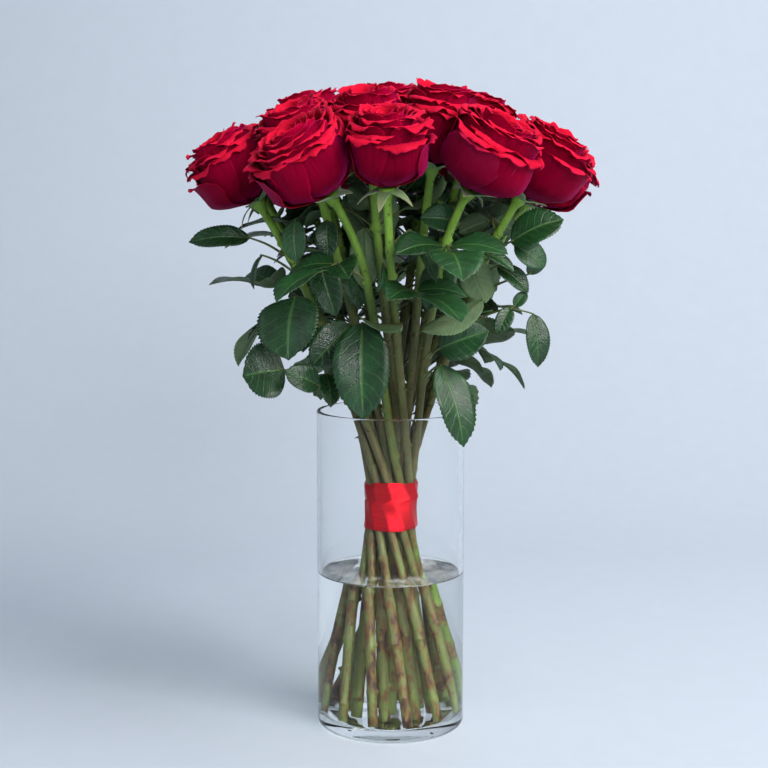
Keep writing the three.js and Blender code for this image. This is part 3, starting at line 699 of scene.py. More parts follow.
# A petal's tone is below 0 on the guards, from 0 to 1 on the next layer, and a step more on each after that.
TONE_SHARE = 0.3
TONE_STEP = 0.3


class Finish:
    """A node material with one principled shader, and short ways to add the nodes that feed it."""

    def __init__(self, name):
        self.material = bpy.data.materials.new(name)
        self.material.use_nodes = True
        self.tree = self.material.node_tree
        self.shader = self.tree.nodes["Principled BSDF"]

    def add(self, kind, inputs=None, **settings):
        node = self.tree.nodes.new(kind)
        for key, value in settings.items():
            setattr(node, key, value)
        for key, value in (inputs or {}).items():
            self.feed(node.inputs[key], value)
        return node

    def feed(self, socket, value):
        if isinstance(value, bpy.types.NodeSocket):
            self.tree.links.new(value, socket)
        else:
            socket.default_value = value

    def give(self, name, value):
        self.feed(self.shader.inputs[name], value)

    def place(self):
        """The three numbers that each piece's mesh carries."""
        node = self.add("ShaderNodeAttribute", attribute_name="place")
        return self.add("ShaderNodeSeparateXYZ", {"Vector": node.outputs["Vector"]}).outputs

    def position(self):
        return self.add("ShaderNodeTexCoord").outputs["Object"]

    def math(self, operation, a, b=0.0, c=0.0):
        node = self.add("ShaderNodeMath", operation=operation)
        for socket, value in zip(node.inputs, (a, b, c)):
            self.feed(socket, value)
        return node.outputs[0]

    def plus(self, a, b):
        return self.math("ADD", a, b)

    def times(self, a, b):
        return self.math("MULTIPLY", a, b)

    def times_plus(self, a, b, c):
        return self.math("MULTIPLY_ADD", a, b, c)

    def join(self, x, y, z):
        return self.add("ShaderNodeCombineXYZ", {"X": x, "Y": y, "Z": z}).outputs[0]

    def noise(self, vector, scale, detail, roughness=0.5):
        inputs = {"Vector": vector, "Scale": scale, "Detail": detail, "Roughness": roughness}
        return self.add("ShaderNodeTexNoise", inputs).outputs["Fac"]

    def ramp(self, value, stops):
        """A colour, or a grey, for each share."""
        node = self.add("ShaderNodeValToRGB", {"Fac": value})
        band = node.color_ramp
        while len(band.elements) < len(stops):
            band.elements.new(0.5)
        for element, (share, colour) in zip(band.elements, stops):
            element.position = share
            element.color = (*colour, 1) if isinstance(colour, tuple) else (colour, colour, colour, 1)
        return node.outputs["Color"]

    def fade(self, value, low, high, start=0.0, end=1.0):
        """A grey that goes from one level to another between two shares."""
        return self.ramp(value, [(low, start), (high, end)])

    def blend(self, share, a, b, mode="MIX"):
        node = self.add("ShaderNodeMix", data_type="RGBA", blend_type=mode)
        for socket, value in ((node.inputs[0], share), (node.inputs[6], a), (node.inputs[7], b)):
            self.feed(socket, value if not isinstance(value, tuple) or len(value) == 4 else (*value, 1))
        return node.outputs[2]

    def shade(self, colour, grey):
        return self.blend(1.0, colour, grey, "MULTIPLY")

    def bump(self, height, distance, strength, normal=None):
        inputs = {"Height": height, "Distance": distance, "Strength": strength}
        if normal is not None:
            inputs["Normal"] = normal
        return self.add("ShaderNodeBump", inputs).outputs[0]

    def let_light_through(self, tint):
        """Shadow rays pass, so that what stands in the glass is lit."""
        path = self.add("ShaderNodeLightPath")
        clear = self.add("ShaderNodeBsdfTransparent", {"Color": tint})
        both = self.add("ShaderNodeMixShader", {0: path.outputs["Is Shadow Ray"],
                                                1: self.shader.outputs[0], 2: clear.outputs[0]})
        self.tree.links.new(both.outputs[0], self.tree.nodes["Material Output"].inputs["Surface"])


def petal_finish(name, deep, full, edge, sheen, painted_heart_light):
    """Velvety petal: painted shade darkens the claw, and fine veins run up to a thin edge with a painted
    highlight.

    The guards' tone gives them a dusty bloom. The tone also paints light: outer layers darker, inner layers
    at the bloom's top brighter, up to the painted heart light."""
    finish = Finish(name)
    across, along, tone = finish.place()
    patches = finish.noise(finish.position(), PATTERN.petal_patches, 3.0)
    # Painted shade: the colour darkens to the deep red low on the petal, in the bowl.
    depth = finish.times_plus(patches, 0.35, finish.plus(along, -0.17))
    colour = finish.ramp(depth, [(0.35, deep), (0.8, full)])
    run = finish.join(finish.times(across, 16.0), finish.times(along, 1.6), finish.times(tone, 9.0))
    veins = finish.noise(run, 2.2, 4.0, 0.6)
    colour = finish.blend(finish.fade(veins, 0.35, 0.62, 0.5, 0.0), colour, deep)
    # Painted light: outer layers darkened, inner layers at the top of the bloom brightened as if lit and
    # glowing through.
    painted_light_inwards = [(0.0, 0.72), (TONE_SHARE, 0.95), (1.0, painted_heart_light)]
    colour = finish.shade(colour, finish.ramp(finish.times(tone, TONE_SHARE), painted_light_inwards))
    guards = finish.fade(finish.times(tone, -1.0), 0.0, 0.5, 0.0, 0.55)
    dust = finish.times(finish.times(guards, finish.fade(along, 0.2, 0.85)),
                        finish.fade(patches, 0.3, 0.6, 0.35, 1.0))
    colour = finish.blend(dust, colour, PETAL_DUST)
    # Painted highlight: a paler band along the petal's thin edge.
    thin = finish.times(finish.fade(along, 0.93, 0.985, 0.0, 0.75), finish.fade(patches, 0.35, 0.6, 0.2, 1.0))
    colour = finish.blend(thin, colour, edge)
    velvet = finish.noise(finish.position(), PATTERN.velvet, 2.0)
    finish.give("Base Color", colour)
    finish.give("Roughness", finish.fade(velvet, 0.3, 0.7, 0.52, 0.7))
    finish.give("Specular IOR Level", 0.05)
    finish.give("Specular Tint", PETAL_GLINT)
    finish.give("Sheen Weight", sheen)
    finish.give("Sheen Roughness", 0.35)
    finish.give("Sheen Tint", PETAL_SHEEN)
    fine = finish.bump(velvet, RELIEF.velvet, 0.5)
    finish.give("Normal", finish.bump(veins, RELIEF.petal_veins, 0.7, fine))
    return finish.material


def vein_lines(finish, across, along):
    """How much of a vein there is: the midrib, and side veins that slant from it towards the edge."""
    side = finish.math("ABSOLUTE", across)
    rib = finish.ramp(side, [(0.0, 1.0), (0.035, 0.8), (0.08, 0.0)])
    slant = finish.math("SUBTRACT", finish.times(along, VEINS.count), finish.times(side, VEINS.slant))
    wander = finish.noise(finish.position(), PATTERN.vein_wander, 2.0)
    slant = finish.plus(slant, finish.times(wander, 0.7))
    phase = finish.math("ABSOLUTE", finish.math("SUBTRACT", finish.math("FRACT", slant), 0.5))
    lines = finish.ramp(phase, [(0.0, 0.4), (0.06, 0.15), (0.12, 0.0)])
    return finish.math("MAXIMUM", rib, lines)


def leaf_finish(name, dark, light, vein, roughness, net_depth, gloss):
    """Leaf skin with pale veins, a fine net of smaller ones between them and a few brown patches."""
    finish = Finish(name)
    across, along, tone = finish.place()
    veins = vein_lines(finish, across, along)
    patches = finish.noise(finish.position(), PATTERN.leaf_patches, 4.0)
    colour = finish.blend(finish.fade(patches, 0.3, 0.7), dark, light)
    colour = finish.shade(colour, finish.fade(tone, 0.0, 1.0, 0.62, 1.25))
    colour = finish.blend(finish.times(veins, 0.62), colour, vein)
    cells = finish.add("ShaderNodeTexVoronoi", {"Vector": finish.position(), "Scale": PATTERN.leaf_cells},
                       feature="DISTANCE_TO_EDGE").outputs["Distance"]
    colour = finish.blend(finish.times(finish.fade(cells, 0.0, 0.12, 1.0, 0.0), 0.16), colour, vein)
    edge = finish.fade(finish.math("ABSOLUTE", across), 0.72, 1.0)
    spots = finish.fade(finish.noise(finish.position(), PATTERN.leaf_spots, 5.0, 0.65), 0.62, 0.7)
    colour = finish.blend(finish.times(finish.times(edge, spots), 0.8), colour, LEAF_BROWN)
    finish.give("Base Color", colour)
    rough = finish.noise(finish.position(), PATTERN.leaf_shine, 4.0)
    rough = finish.times_plus(rough, 0.5, finish.times_plus(tone, 0.16, roughness - 0.3))
    finish.give("Roughness", rough)
    finish.give("Specular IOR Level", gloss)
    relief = finish.bump(cells, net_depth, 0.6)
    finish.give("Normal", finish.bump(veins, RELIEF.leaf_veins, 0.6, relief))
    return finish.material


def bark_finish():
    """Stem skin: fresh green at the neck, olive and brown further down, with brown scars and dark specks."""
    finish = Finish("rose_stem_skin")
    around, height, tone = finish.place()
    run = finish.join(finish.times(around, 5.0), finish.times(height, 11.0), finish.times(tone, 11.0))
    streak = finish.noise(run, 1.7, 5.0, 0.62)
    old = finish.ramp(height, [(0.0, 0.54), (0.3, 0.64), (0.5, 0.7), (0.78, 0.6), (0.88, 0.22), (0.95, 0.0)])
    age = finish.plus(old, finish.times_plus(streak, 0.9, -0.45))
    own_age = finish.times_plus(tone, 0.8, -0.45)
    age = finish.plus(age, finish.times(own_age, finish.fade(height, 0.2, 0.45, 0.4, 1.0)))
    colour = finish.ramp(age, STEM_AGES)
    colour = finish.shade(colour, finish.ramp(tone, [(0.0, 0.7), (0.25, 0.95), (0.6, 0.66), (1.0, 0.36)]))
    shadow = finish.ramp(height, [(0.0, 0.86), (0.28, 0.8), (0.42, 0.5), (0.75, 0.56), (0.9, 1.0)])
    colour = finish.shade(colour, shadow)
    kind = finish.math("FRACT", finish.times(tone, 7.3))
    colour = finish.blend(finish.times(finish.fade(kind, 0.4, 0.8, 0.0, 0.5), old), colour, STEM_BROWN)
    low = finish.ramp(height, [(0.25, 1.0), (0.5, 0.35), (0.8, 0.0)])
    stretched = finish.add("ShaderNodeMapping", {"Vector": finish.position(), "Scale": (1.0, 1.0, 0.45)})
    rough = finish.noise(stretched.outputs[0], PATTERN.scars, 6.0, 0.7)
    scars = finish.fade(rough, 0.49, 0.53)
    colour = finish.blend(finish.times(scars, low), colour, SCAR)
    colour = finish.blend(finish.times(finish.fade(rough, 0.57, 0.59), low), colour, SCAR_CORE)
    specks = finish.fade(finish.noise(finish.position(), PATTERN.specks, 3.0), 0.63, 0.7)
    colour = finish.blend(finish.times(specks, 0.7), colour, SPECK)
    finish.give("Base Color", colour)
    finish.give("Roughness", finish.fade(streak, 0.3, 0.7, 0.34, 0.55))
    finish.give("Specular IOR Level", 0.32)
    relief = finish.bump(scars, RELIEF.scars, 0.6)
    finish.give("Normal", finish.bump(streak, RELIEF.streaks, 0.5, relief))
    return finish.material


def sepal_finish(name, stops):
    """Downy sepal skin that dries to brown at its tip."""
    finish = Finish(name)
    _, along, tone = finish.place()
    spots = finish.noise(finish.position(), PATTERN.down, 4.0)
    colour = finish.ramp(finish.times_plus(spots, 0.3, along), stops)
    finish.give("Base Color", finish.shade(colour, finish.fade(tone, 0.0, 1.0, 0.75, 1.25)))
    finish.give("Roughness", 0.6)
    finish.give("Sheen Weight", 0.25)
    finish.give("Normal", finish.bump(spots, RELIEF.down, 0.5))
    return finish.material


def satin_finish(settings):
    """Woven satin: fine threads along the ribbon with a broad bright sheen across them."""
    finish = Finish("ribbon_satin")
    across, along, _ = finish.place()
    weave = {"Vector": finish.join(along, across, 0.0), "Scale": settings.thread_scale, "Distortion": 1.2,
             "Detail": 2.0}
    threads = finish.add("ShaderNodeTexWave", weave, bands_direction="Y").outputs["Fac"]
    run = finish.join(finish.times(along, 3.0), finish.times(across, 14.0), 0.0)
    folds = finish.noise(run, 1.4, 3.0)
    colour = finish.blend(finish.fade(folds, 0.3, 0.7), tuple(settings.shade), tuple(settings.colour))
    finish.give("Base Color", colour)
    finish.give("Roughness", finish.fade(folds, 0.3, 0.7, 0.46, 0.56))
    finish.give("Metallic", 0.8)
    finish.give("Anisotropic", 0.95)
    finish.give("Anisotropic Rotation", 0.25)
    finish.give("Specular IOR Level", 0.2)
    relief = finish.bump(threads, RELIEF.weave, 0.35)
    finish.give("Normal", finish.bump(folds, RELIEF.folds, 0.4, relief))
    return finish.material


def clear_finish(name, ior, tint, wave_height, painted_glints=0.0):
    """Clear glass or water, with the faint unevenness of the real one. It may carry painted glints on the
    water's surface.
    """
    finish = Finish(name)
    waves = finish.noise(finish.position(), PATTERN.waves, 2.0)
    finish.give("Base Color", finish.blend(finish.fade(waves, 0.3, 0.7), tint, (1.0, 1.0, 1.0)))
    finish.give("Roughness", 0.0)
    finish.give("IOR", ior)
    # Painted reflection: where the streaks run, less light passes and the pale base shows as whitish glints.
    streaks = finish.noise(finish.position(), PATTERN.painted_glints, 3.0, 0.6)
    finish.give("Transmission Weight", finish.fade(streaks, 0.42, 0.66, 1.0, 1.0 - painted_glints))
    finish.give("Specular Tint", CLEAR_GLINT)
    finish.give("Normal", finish.bump(waves, wave_height, 0.3))
    finish.let_light_through((*tint, 1))
    return finish.material


def paper_finish(colour):
    """Matt backdrop paper with faint fibres."""
    finish = Finish("backdrop_paper")
    fibres = finish.noise(finish.position(), PATTERN.fibres, 3.0)
    finish.give("Base Color", finish.shade(colour, finish.fade(fibres, 0.3, 0.7, 0.98, 1.0)))
    finish.give("Roughness", 0.75)
    finish.give("Specular IOR Level", 0.25)
    return finish.material


# Sizes and colours that a user may change

def size_value(name, description, millimetres):
    return FloatProperty(name=name, description=description, default=millimetres * MM, min=0.0, unit="LENGTH")


def power_value(name, description, watts):
    return FloatProperty(name=name, description=description, default=watts, subtype="POWER")


def colour_value(name, description, colour):
    return FloatVectorProperty(name=name, description=description, default=colour, subtype="COLOR")


class VaseSettings(bpy.types.PropertyGroup):
    """The glass cylinder and the water in it"""

    lip: size_value("Lip Rounding", "How much of the rim each side of the lip rounds off", 1.4)
    inner_corner: size_value("Inner Corner", "Rounding where the wall meets the floor inside", 4.5)
    push_up: size_value("Push-up", "How far the underside is hollowed in its middle", 1.6)
    meniscus: size_value("Meniscus", "How far the water climbs the glass", 1.8)
    sides: IntProperty(name="Sides", description="How many faces go round the vase", default=128, min=24)
    tint: colour_value("Glass Tint", "What the glass does to light that passes it", (0.965, 0.985, 0.98))


class RibbonSettings(bpy.types.PropertyGroup):
    """The satin ribbon round the waist of the bundle"""

    width: size_value("Width", "Width of the ribbon", 38)
    thickness: size_value("Thickness", "Thickness of the cloth", 0.3)
    turns: FloatProperty(name="Turns", description="How often the ribbon goes round the stems", default=2.1)
    shift: size_value("Shift", "How far one turn lies below the last", 1.4)
    gather: size_value("Gather", "How far the top edge sinks at the sides", 3.2)
    bulge: size_value("Tucked End", "How far the tucked end stands out", 2.6)
    thread_scale: FloatProperty(name="Thread Scale", description="How fine the satin's threads are",
                                default=22.0)
    colour: colour_value("Colour", "Satin in the light", (0.66, 0.008, 0.016))
    shade: colour_value("Shade", "Satin in its creases", (0.46, 0.002, 0.012))


class StemSettings(bpy.types.PropertyGroup):
    """Stems, leaves and sepals"""

    blade: size_value("Blade Thickness", "Thickness of a leaf's blade", 0.34)
    teeth: FloatProperty(name="Teeth", description="How deep the teeth of a leaf's edge are, as a share",
                         default=0.065, subtype="FACTOR")
    quilting: size_value("Quilting", "How far a leaf swells between its side veins", 0.22)
    node_swell: size_value("Node Swell", "How far a stem swells at a node", 0.7)
    bud: size_value("Bud Height", "How far a bud stands out at a node", 1.7)
    thorn: size_value("Thorn Length", "Length of a thorn", 4.2)
    leaf_dark: colour_value("Leaf Dark", "Darker green of a leaf's upper face", (0.005, 0.026, 0.009))
    leaf_light: colour_value("Leaf Light", "Lighter green of a leaf's upper face", (0.01, 0.062, 0.017))
    leaf_vein: colour_value("Leaf Vein", "Veins of a leaf's upper face", (0.07, 0.18, 0.045))
    under_dark: colour_value("Underside Dark", "Darker green of a leaf's underside", (0.055, 0.105, 0.045))
    under_light: colour_value("Underside Light", "Lighter green of a leaf's underside", (0.1, 0.155, 0.075))
    under_vein: colour_value("Underside Vein", "Veins of a leaf's underside", (0.2, 0.28, 0.15))


class BloomSettings(bpy.types.PropertyGroup):
    """The petals"""

    thickness: size_value("Petal Thickness", "Thickness of a petal", 0.36)
    overlap: size_value("Overlap", "How far a petal's free edge stands over the next one", 1.5)
    ruffle: size_value("Ruffle", "How far a petal's edge waves", 0.8)
    face: colour_value("Face", "Red of a petal's inner face", (0.62, 0.008, 0.034))
    # The deep red is painted shade low in the bowl, and the veins' colour.
    face_deep: colour_value("Face, Deep", "Red low on a petal's inner face", (0.5, 0.001, 0.018))
    back: colour_value("Back", "Crimson of a petal's outer face", (0.29, 0.001, 0.024))
    # The deep crimson is painted shade low in the bowl, and the veins' colour.
    back_deep: colour_value("Back, Deep", "Crimson low on a petal's outer face", (0.13, 0.0, 0.01))
    # The edge colour is a painted highlight along the petals' thin edges.
    edge: colour_value("Edge", "Paler red of a petal's thin edge", (0.6, 0.012, 0.05))


class StageSettings(bpy.types.PropertyGroup):
    """The camera, the backdrop and the lights"""

    distance: FloatProperty(name="Distance", description="Camera's distance from the vase's axis",
                            default=1.2046, unit="LENGTH")
    height: FloatProperty(name="Height", description="Camera's height", default=0.4265, unit="LENGTH")
    side: FloatProperty(name="Side", description="Camera's place to the right of the vase's axis",
                        default=-0.0053, unit="LENGTH")
    tilt: FloatProperty(name="Tilt", description="How far the camera looks down", default=math.radians(6.9),
                        subtype="ANGLE")
    lens: FloatProperty(name="Lens", description="Focal length on the camera's sensor", default=70.3,
                        unit="CAMERA")
    floor: colour_value("Floor", "Colour of the floor and backdrop", (0.5, 0.55, 0.62))
    key: power_value("Key Light", "Power of the light from the upper right", 64.0)
    fill: power_value("Fill Light", "Power of the light from the left", 5.0)
    front: power_value("Front Light", "Power of the light beside the camera", 28.0)
    back: power_value("Backdrop Light", "Power of the light on the backdrop", 19.5)
    sky: FloatProperty(name="Sky", description="Strength of the light from all round", default=0.3)


class RoseVaseSettings(bpy.types.PropertyGroup):
    """Everything that the panel shows"""

    vase: PointerProperty(type=VaseSettings)
    ribbon: PointerProperty(type=RibbonSettings)
    stems: PointerProperty(type=StemSettings)
    blooms: PointerProperty(type=BloomSettings)
    stage: PointerProperty(type=StageSettings)


# The vase and its water. The water overlaps the glass by a hair, so that no air shows between them.

FLOOR_RISE = 0.25
HAIR = 0.04
MENISCUS = SimpleNamespace(shares=(0.06, 0.16, 0.32, 0.55, 0.85, 1.3, 2.0), reach=3.2, fall=2.4)


def vase_skin(settings):
    radius, height, floor = VASE.radius, VASE.height, VASE.floor
    lip, corner, push = settings.lip / MM, settings.inner_corner / MM, settings.push_up / MM
    inner = radius - VASE.wall
    corners = [
        (0, push, 0), (radius * 0.45, push * 0.8, 6), (radius * 0.82, 0.1, 4), (radius - 6, 0, 2),
        (radius, 0, 3.4), (radius, height, lip), (inner, height, lip), (inner, floor, corner),
        (inner * 0.5, floor, 3), (0, floor + FLOOR_RISE, 0),
    ]
    return turned_skin(rounded(corners), settings.sides)


def water_skin(settings):
    corner, climb = settings.inner_corner / MM, settings.meniscus / MM
    inner = VASE.radius - VASE.wall + HAIR
    floor = VASE.floor - HAIR
    profile = [(0, VASE.floor + FLOOR_RISE - HAIR)]
    profile += rounded([(inner * 0.5, floor, 0), (inner, floor, corner), (inner, WATER_LEVEL + climb, 0)])
    for share in MENISCUS.shares:
        rise = climb * math.exp(-share * MENISCUS.fall)
        profile.append((inner - share * MENISCUS.reach, WATER_LEVEL + rise))
    return turned_skin(profile + [(0, WATER_LEVEL)], settings.sides)


# The ribbon. Its winding starts at a share of the way round. The tucked end and the folds beside it are
# humps at a bearing, slack waves run round it, and the sides of its top edge are gathered down.

WINDING = SimpleNamespace(rows=13, steps=150, start=0.96, off_stems=0.5, off_turn=0.28)
TUCK = SimpleNamespace(bearing=62, spread=20, share=0.22, tall=0.2)
FOLDS = SimpleNamespace(depth=0.22, count=21, slant=0.05, bearing=35, spread=40)
SLACK = SimpleNamespace(height=0.5, waves=3, slant=5, least=0.3)
GATHER = SimpleNamespace(both=0.8, right=-0.2)
SKEW = 0.6


def bundle_outline(roses, height):
    """The tight outline round the stems at a height, as points evenly spaced along it."""
    middles = np.array([stem_at(rose, height)[:2] for rose in roses])
    turn = all_round(WINDING.steps)
    ways = np.stack([np.cos(turn), np.sin(turn)], -1)
    nearest = middles[np.argmax(middles @ ways.T, axis=0)]
    points = nearest + ways * STEM.waist_radius
    closed = np.vstack([points, points[:1]])
    run = np.concatenate([[0], np.cumsum(np.linalg.norm(np.diff(closed, axis=0), axis=1))])
    even = np.linspace(0, run[-1], WINDING.steps, endpoint=False)
    return np.stack([np.interp(even, run, closed[:, k]) for k in (0, 1)], -1)


def ribbon_skin(roses, settings):
    """Winds the ribbon round the outline, each turn over the last and a little lower, and measures it."""
    width, thickness = settings.width / MM, settings.thickness / MM
    count = int(WINDING.steps * settings.turns)
    across = np.linspace(-0.5, 0.5, WINDING.rows)
    at = (int(WINDING.steps * WINDING.start) + np.arange(count)) % WINDING.steps
    turn_number = np.arange(count) / count * settings.turns
    grid = np.zeros((WINDING.rows, count, 3))
    for i, share in enumerate(across):
        height = RIBBON_MIDDLE + share * width
        outline = bundle_outline(roses, height)
        ahead = np.roll(outline, -1, axis=0) - np.roll(outline, 1, axis=0)
        out = unit(np.stack([ahead[:, 1], -ahead[:, 0]], -1))[at]
        bearing = np.degrees(np.arctan2(out[:, 0], -out[:, 1]))
        tuck = hump(bearing, TUCK.bearing, TUCK.spread) * hump(share, TUCK.share, TUCK.tall)
        folds = FOLDS.depth * np.sin(share * FOLDS.count + bearing * FOLDS.slant)
        folds = folds * hump(bearing, FOLDS.bearing, FOLDS.spread)
        lift = WINDING.off_stems + turn_number * (thickness + WINDING.off_turn)
        lift = lift + (tuck * settings.bulge / MM + folds) * smooth(turn_number, 0.9, 1.3)
        waves = np.sin(np.radians(bearing) * SLACK.waves + share * SLACK.slant)
        slack = SLACK.height * waves * (SLACK.least + abs(share))
        slope = -settings.shift / MM * (turn_number - settings.turns / 2)
        aside = np.sin(np.radians(bearing))
        sides = aside ** 2 * (GATHER.both + GATHER.right * aside)
        gathered = settings.gather / MM * smooth(share, 0.0, 0.5) * sides
        grid[i, :, :2] = outline[at] + out * lift[:, None]
        grid[i, :, 2] = height + slope - gathered + SKEW * aside + slack
    skin = Skin()
    add_sheet(skin, grid, thickness, stacked(across[:, None] + 0.5, turn_number, 0))
    length = float(np.linalg.norm(np.diff(grid[WINDING.rows // 2], axis=0), axis=1).sum())
    return skin, length


# Stems. The hip under a bloom is a list of distances below the bloom's base and radii. Rings stand closer at
# the nodes, where the stem swells and a bud stands out. One stem is younger and greener than the others.

HIP = [(12, 3.2), (9, 3.6), (7, 4.4), (4.6, 5.4), (2.8, 5.9), (1.1, 6.2), (0, 5.8)]
HIP_TOP = 13
STEM_RINGS = SimpleNamespace(sides=12, spacing=8.0, least=0.35, at_node=(-3.2, -1.7, -0.6, 0.5, 1.7, 3.2))
LOW_STEM = 68
NODES = SimpleNamespace(first=(12, 30), between=(30, 52), apart=12, off_ribbon=24, below_head=70)
SWELL = SimpleNamespace(share=0.6, width=2.4)
BUD = SimpleNamespace(above=1.1, width=1.5, point=5)
WANDER = SimpleNamespace(depth=0.12, wave=0.055, sides=2, tone=9)
YOUNG_STEM = 2
YOUNG_TONE = -0.6
THORNS = SimpleNamespace(count=4, above_waist=40, below_head=55, sunk=0.6, younger=0.15)
THORN_STEPS = ((0, 0, 1.5), (0.4, 0.3, 0.8), (0.75, 0.9, 0.38), (1, 1.7, 0.08))


def stem_radius(rose, height):
    top = rose.base[2]
    heights = (FOOT.height, LOW_STEM, WAIST.height - 50, mix(WAIST.height, top, 0.5),
               mix(WAIST.height, top, 0.75))
    radii = (STEM.foot_radius, STEM.foot_radius, STEM.waist_radius, STEM.waist_radius, STEM.neck_radius)
    return np.interp(height, heights, radii)


def stem_share(rose, height):
    """How far up a stem a height is, from its foot to its bloom's base."""
    return (height - FOOT.height) / (rose.base[2] - FOOT.height)


def node_heights(rose, leaves, draw):
    """Leaf scars and buds go up a stem, a node for each leaf and others between them."""
    heights = [leaf.stalks[0][0][2] for leaf in leaves]
    height = FOOT.height + draw(*NODES.first)
    while height < rose.base[2] - NODES.below_head:
        apart = all(abs(height - other) > NODES.apart for other in heights)
        if apart and abs(height - RIBBON_MIDDLE) > NODES.off_ribbon:
            heights.append(height)
        height += draw(*NODES.between)
    return sorted(heights)


def add_stem(skin, rose, leaves, number, settings):
    draw = seeded_random(SEEDS.stems + SEEDS.step * number)
    tone = YOUNG_TONE if number == YOUNG_STEM else draw(0.25, 1)
    nodes = [(height, draw(0, 2 * math.pi)) for height in node_heights(rose, leaves, draw)]
    top = rose.base[2] - HIP_TOP
    heights = list(np.arange(FOOT.height, top, STEM_RINGS.spacing))
    heights += [height + step for height, _ in nodes for step in STEM_RINGS.at_node]
    heights = np.array(sorted(height for height in heights if FOOT.height <= height < top))
    heights = heights[np.concatenate([[True], np.diff(heights) > STEM_RINGS.least])]
    turn = all_round(STEM_RINGS.sides)
    waves = heights[:, None] * WANDER.wave + turn[None] * WANDER.sides + tone * WANDER.tone
    wander = WANDER.depth * np.sin(waves)
    radii = stem_radius(rose, heights)[:, None] + wander
    for height, angle in nodes:
        swell = settings.node_swell / MM * hump(heights, height, SWELL.width)
        bud = settings.bud / MM * hump(heights, height + BUD.above, BUD.width)
        facing = np.maximum(0, np.cos(turn - angle)) ** BUD.point
        radii += swell[:, None] * SWELL.share + bud[:, None] * facing[None]
    hip = [np.full(STEM_RINGS.sides, radius) for _, radius in HIP]
    hip_centres = [rose.base - rose.axis * below for below, _ in HIP]
    centres = np.array([stem_at(rose, height) for height in heights] + hip_centres)
    field = stacked(turn / (2 * math.pi), stem_share(rose, centres[:, 2:]), tone)
    add_tube(skin, centres, np.array([*radii, *hip]), STEM_RINGS.sides, field)
    add_thorns(skin, rose, draw, tone, settings)


def add_thorns(skin, rose, draw, tone, settings):
    """Thorns are left on the upper stem, and lean down a little. Each step of one is a share of its length,
    how far it drops and its radius."""
    for _ in range(THORNS.count):
        height = draw(WAIST.height + THORNS.above_waist, rose.base[2] - THORNS.below_head)
        out = heading(draw(0, 360))
        root = stem_at(rose, height) + out * (stem_radius(rose, height) - THORNS.sunk)
        length = settings.thorn / MM * draw(0.7, 1.1)
        path = [root + out * length * share - vec(0, 0, drop) for share, drop, _ in THORN_STEPS]
        field = (0.5, min(1, stem_share(rose, height) - THORNS.younger), tone)
        add_tube(skin, path, [radius for _, _, radius in THORN_STEPS], 6, field, (0, 0, 1))


# Sepals and leaves. A sepal droops evenly and then from its tip, or hugs the bloom where it droops least. The
# leaves of the fillings have fewer points than the front ones, and no rib.

SEPAL = SimpleNamespace(count=5, length=22, root=4.6, half_width=5.2, tip=0.12, thickness=0.55, sunk=2.0)
DROOP = SimpleNamespace(even=3.0, tip=9.0, power=2.4, bias=1.4)
HUG = SimpleNamespace(rise=0.58, droops=(0.3, 0.6))
LOBES = SimpleNamespace(depth=0.16, pace=26)
SEPAL_CURL = SimpleNamespace(cup=0.7, wave=0.6, pace=5)
FRONT_BLADE = SimpleNamespace(rows=38, columns=9, stalk_sides=7, stalk_steps=5)
FILLING_BLADE = SimpleNamespace(rows=16, columns=5, stalk_sides=5, stalk_steps=2)
OUTLINE = SimpleNamespace(widest=0.88, full=2.3, ends=0.75, tip=0.86, drawn_in=0.35)
EDGE = SimpleNamespace(power=6, forward=0.5, tooth=0.8, notch=-0.3, toothless=0.2, thinner=0.4, least=0.9)
GROOVE = SimpleNamespace(depth=-0.45, width=2.2)
WAVED_WIDTH = 30
STALK_RADII = SimpleNamespace(main=1.15, side=0.75, end=0.55, into_blade=2.5)
RIB = SimpleNamespace(rings=9, end=0.93, below=0.55, radii=(0.6, 0.12), sides=5)
STIPULE = SimpleNamespace(
    rows=6, columns=3, start=3, half_width=1.9, edge=0.1, gap=0.5, cup=0.9, thickness=0.35,
)


def add_sepals(skin, rose, number):
    """Sepals grow from the hip. They spread, and hang by a droop that differs from one to the next."""
    draw = seeded_random(SEEDS.sepals + SEEDS.step * number)
    apart = 360 / SEPAL.count
    spin = draw(0, apart)
    droops = [draw(0, 1) ** DROOP.bias for _ in range(SEPAL.count)]
    right = unit(vec(1, 0, 0) - rose.axis * rose.axis[0])
    ahead = np.cross(rose.axis, right)
    along, across = grid_shares(12, 7)
    reach = SEPAL.length - SEPAL.root
    for j, droop in enumerate(droops):
        turn = math.radians(spin + apart * j + apart / 2)
        out = right * math.cos(turn) + ahead * math.sin(turn)
        drop = -SEPAL.sunk - DROOP.even * droop * along - DROOP.tip * droop * along ** DROOP.power
        drop = drop + HUG.rise * reach * along * (1 - smooth(droop, *HUG.droops))
        half = SEPAL.half_width * (1 - along) ** 0.8 * (1 + 0.6 * along) + SEPAL.tip
        lobes = 1 + LOBES.depth * np.sin(along * LOBES.pace + j) * smooth(along, 0.25, 0.5) * (1 - along)
        curl = SEPAL_CURL.cup * across ** 2 * (1 - along)
        curl = curl - SEPAL_CURL.wave * np.sin(along * SEPAL_CURL.pace + j) * across * along
        grid = laid(rose.base, (SEPAL.root + reach * along, out),
                    (half * lobes * across, np.cross(rose.axis, out)), (drop + curl, rose.axis))
        add_sheet(skin, grid, SEPAL.thickness, stacked(across, along, draw(0, 1)), SEPAL_FACE, SEPAL_BACK)


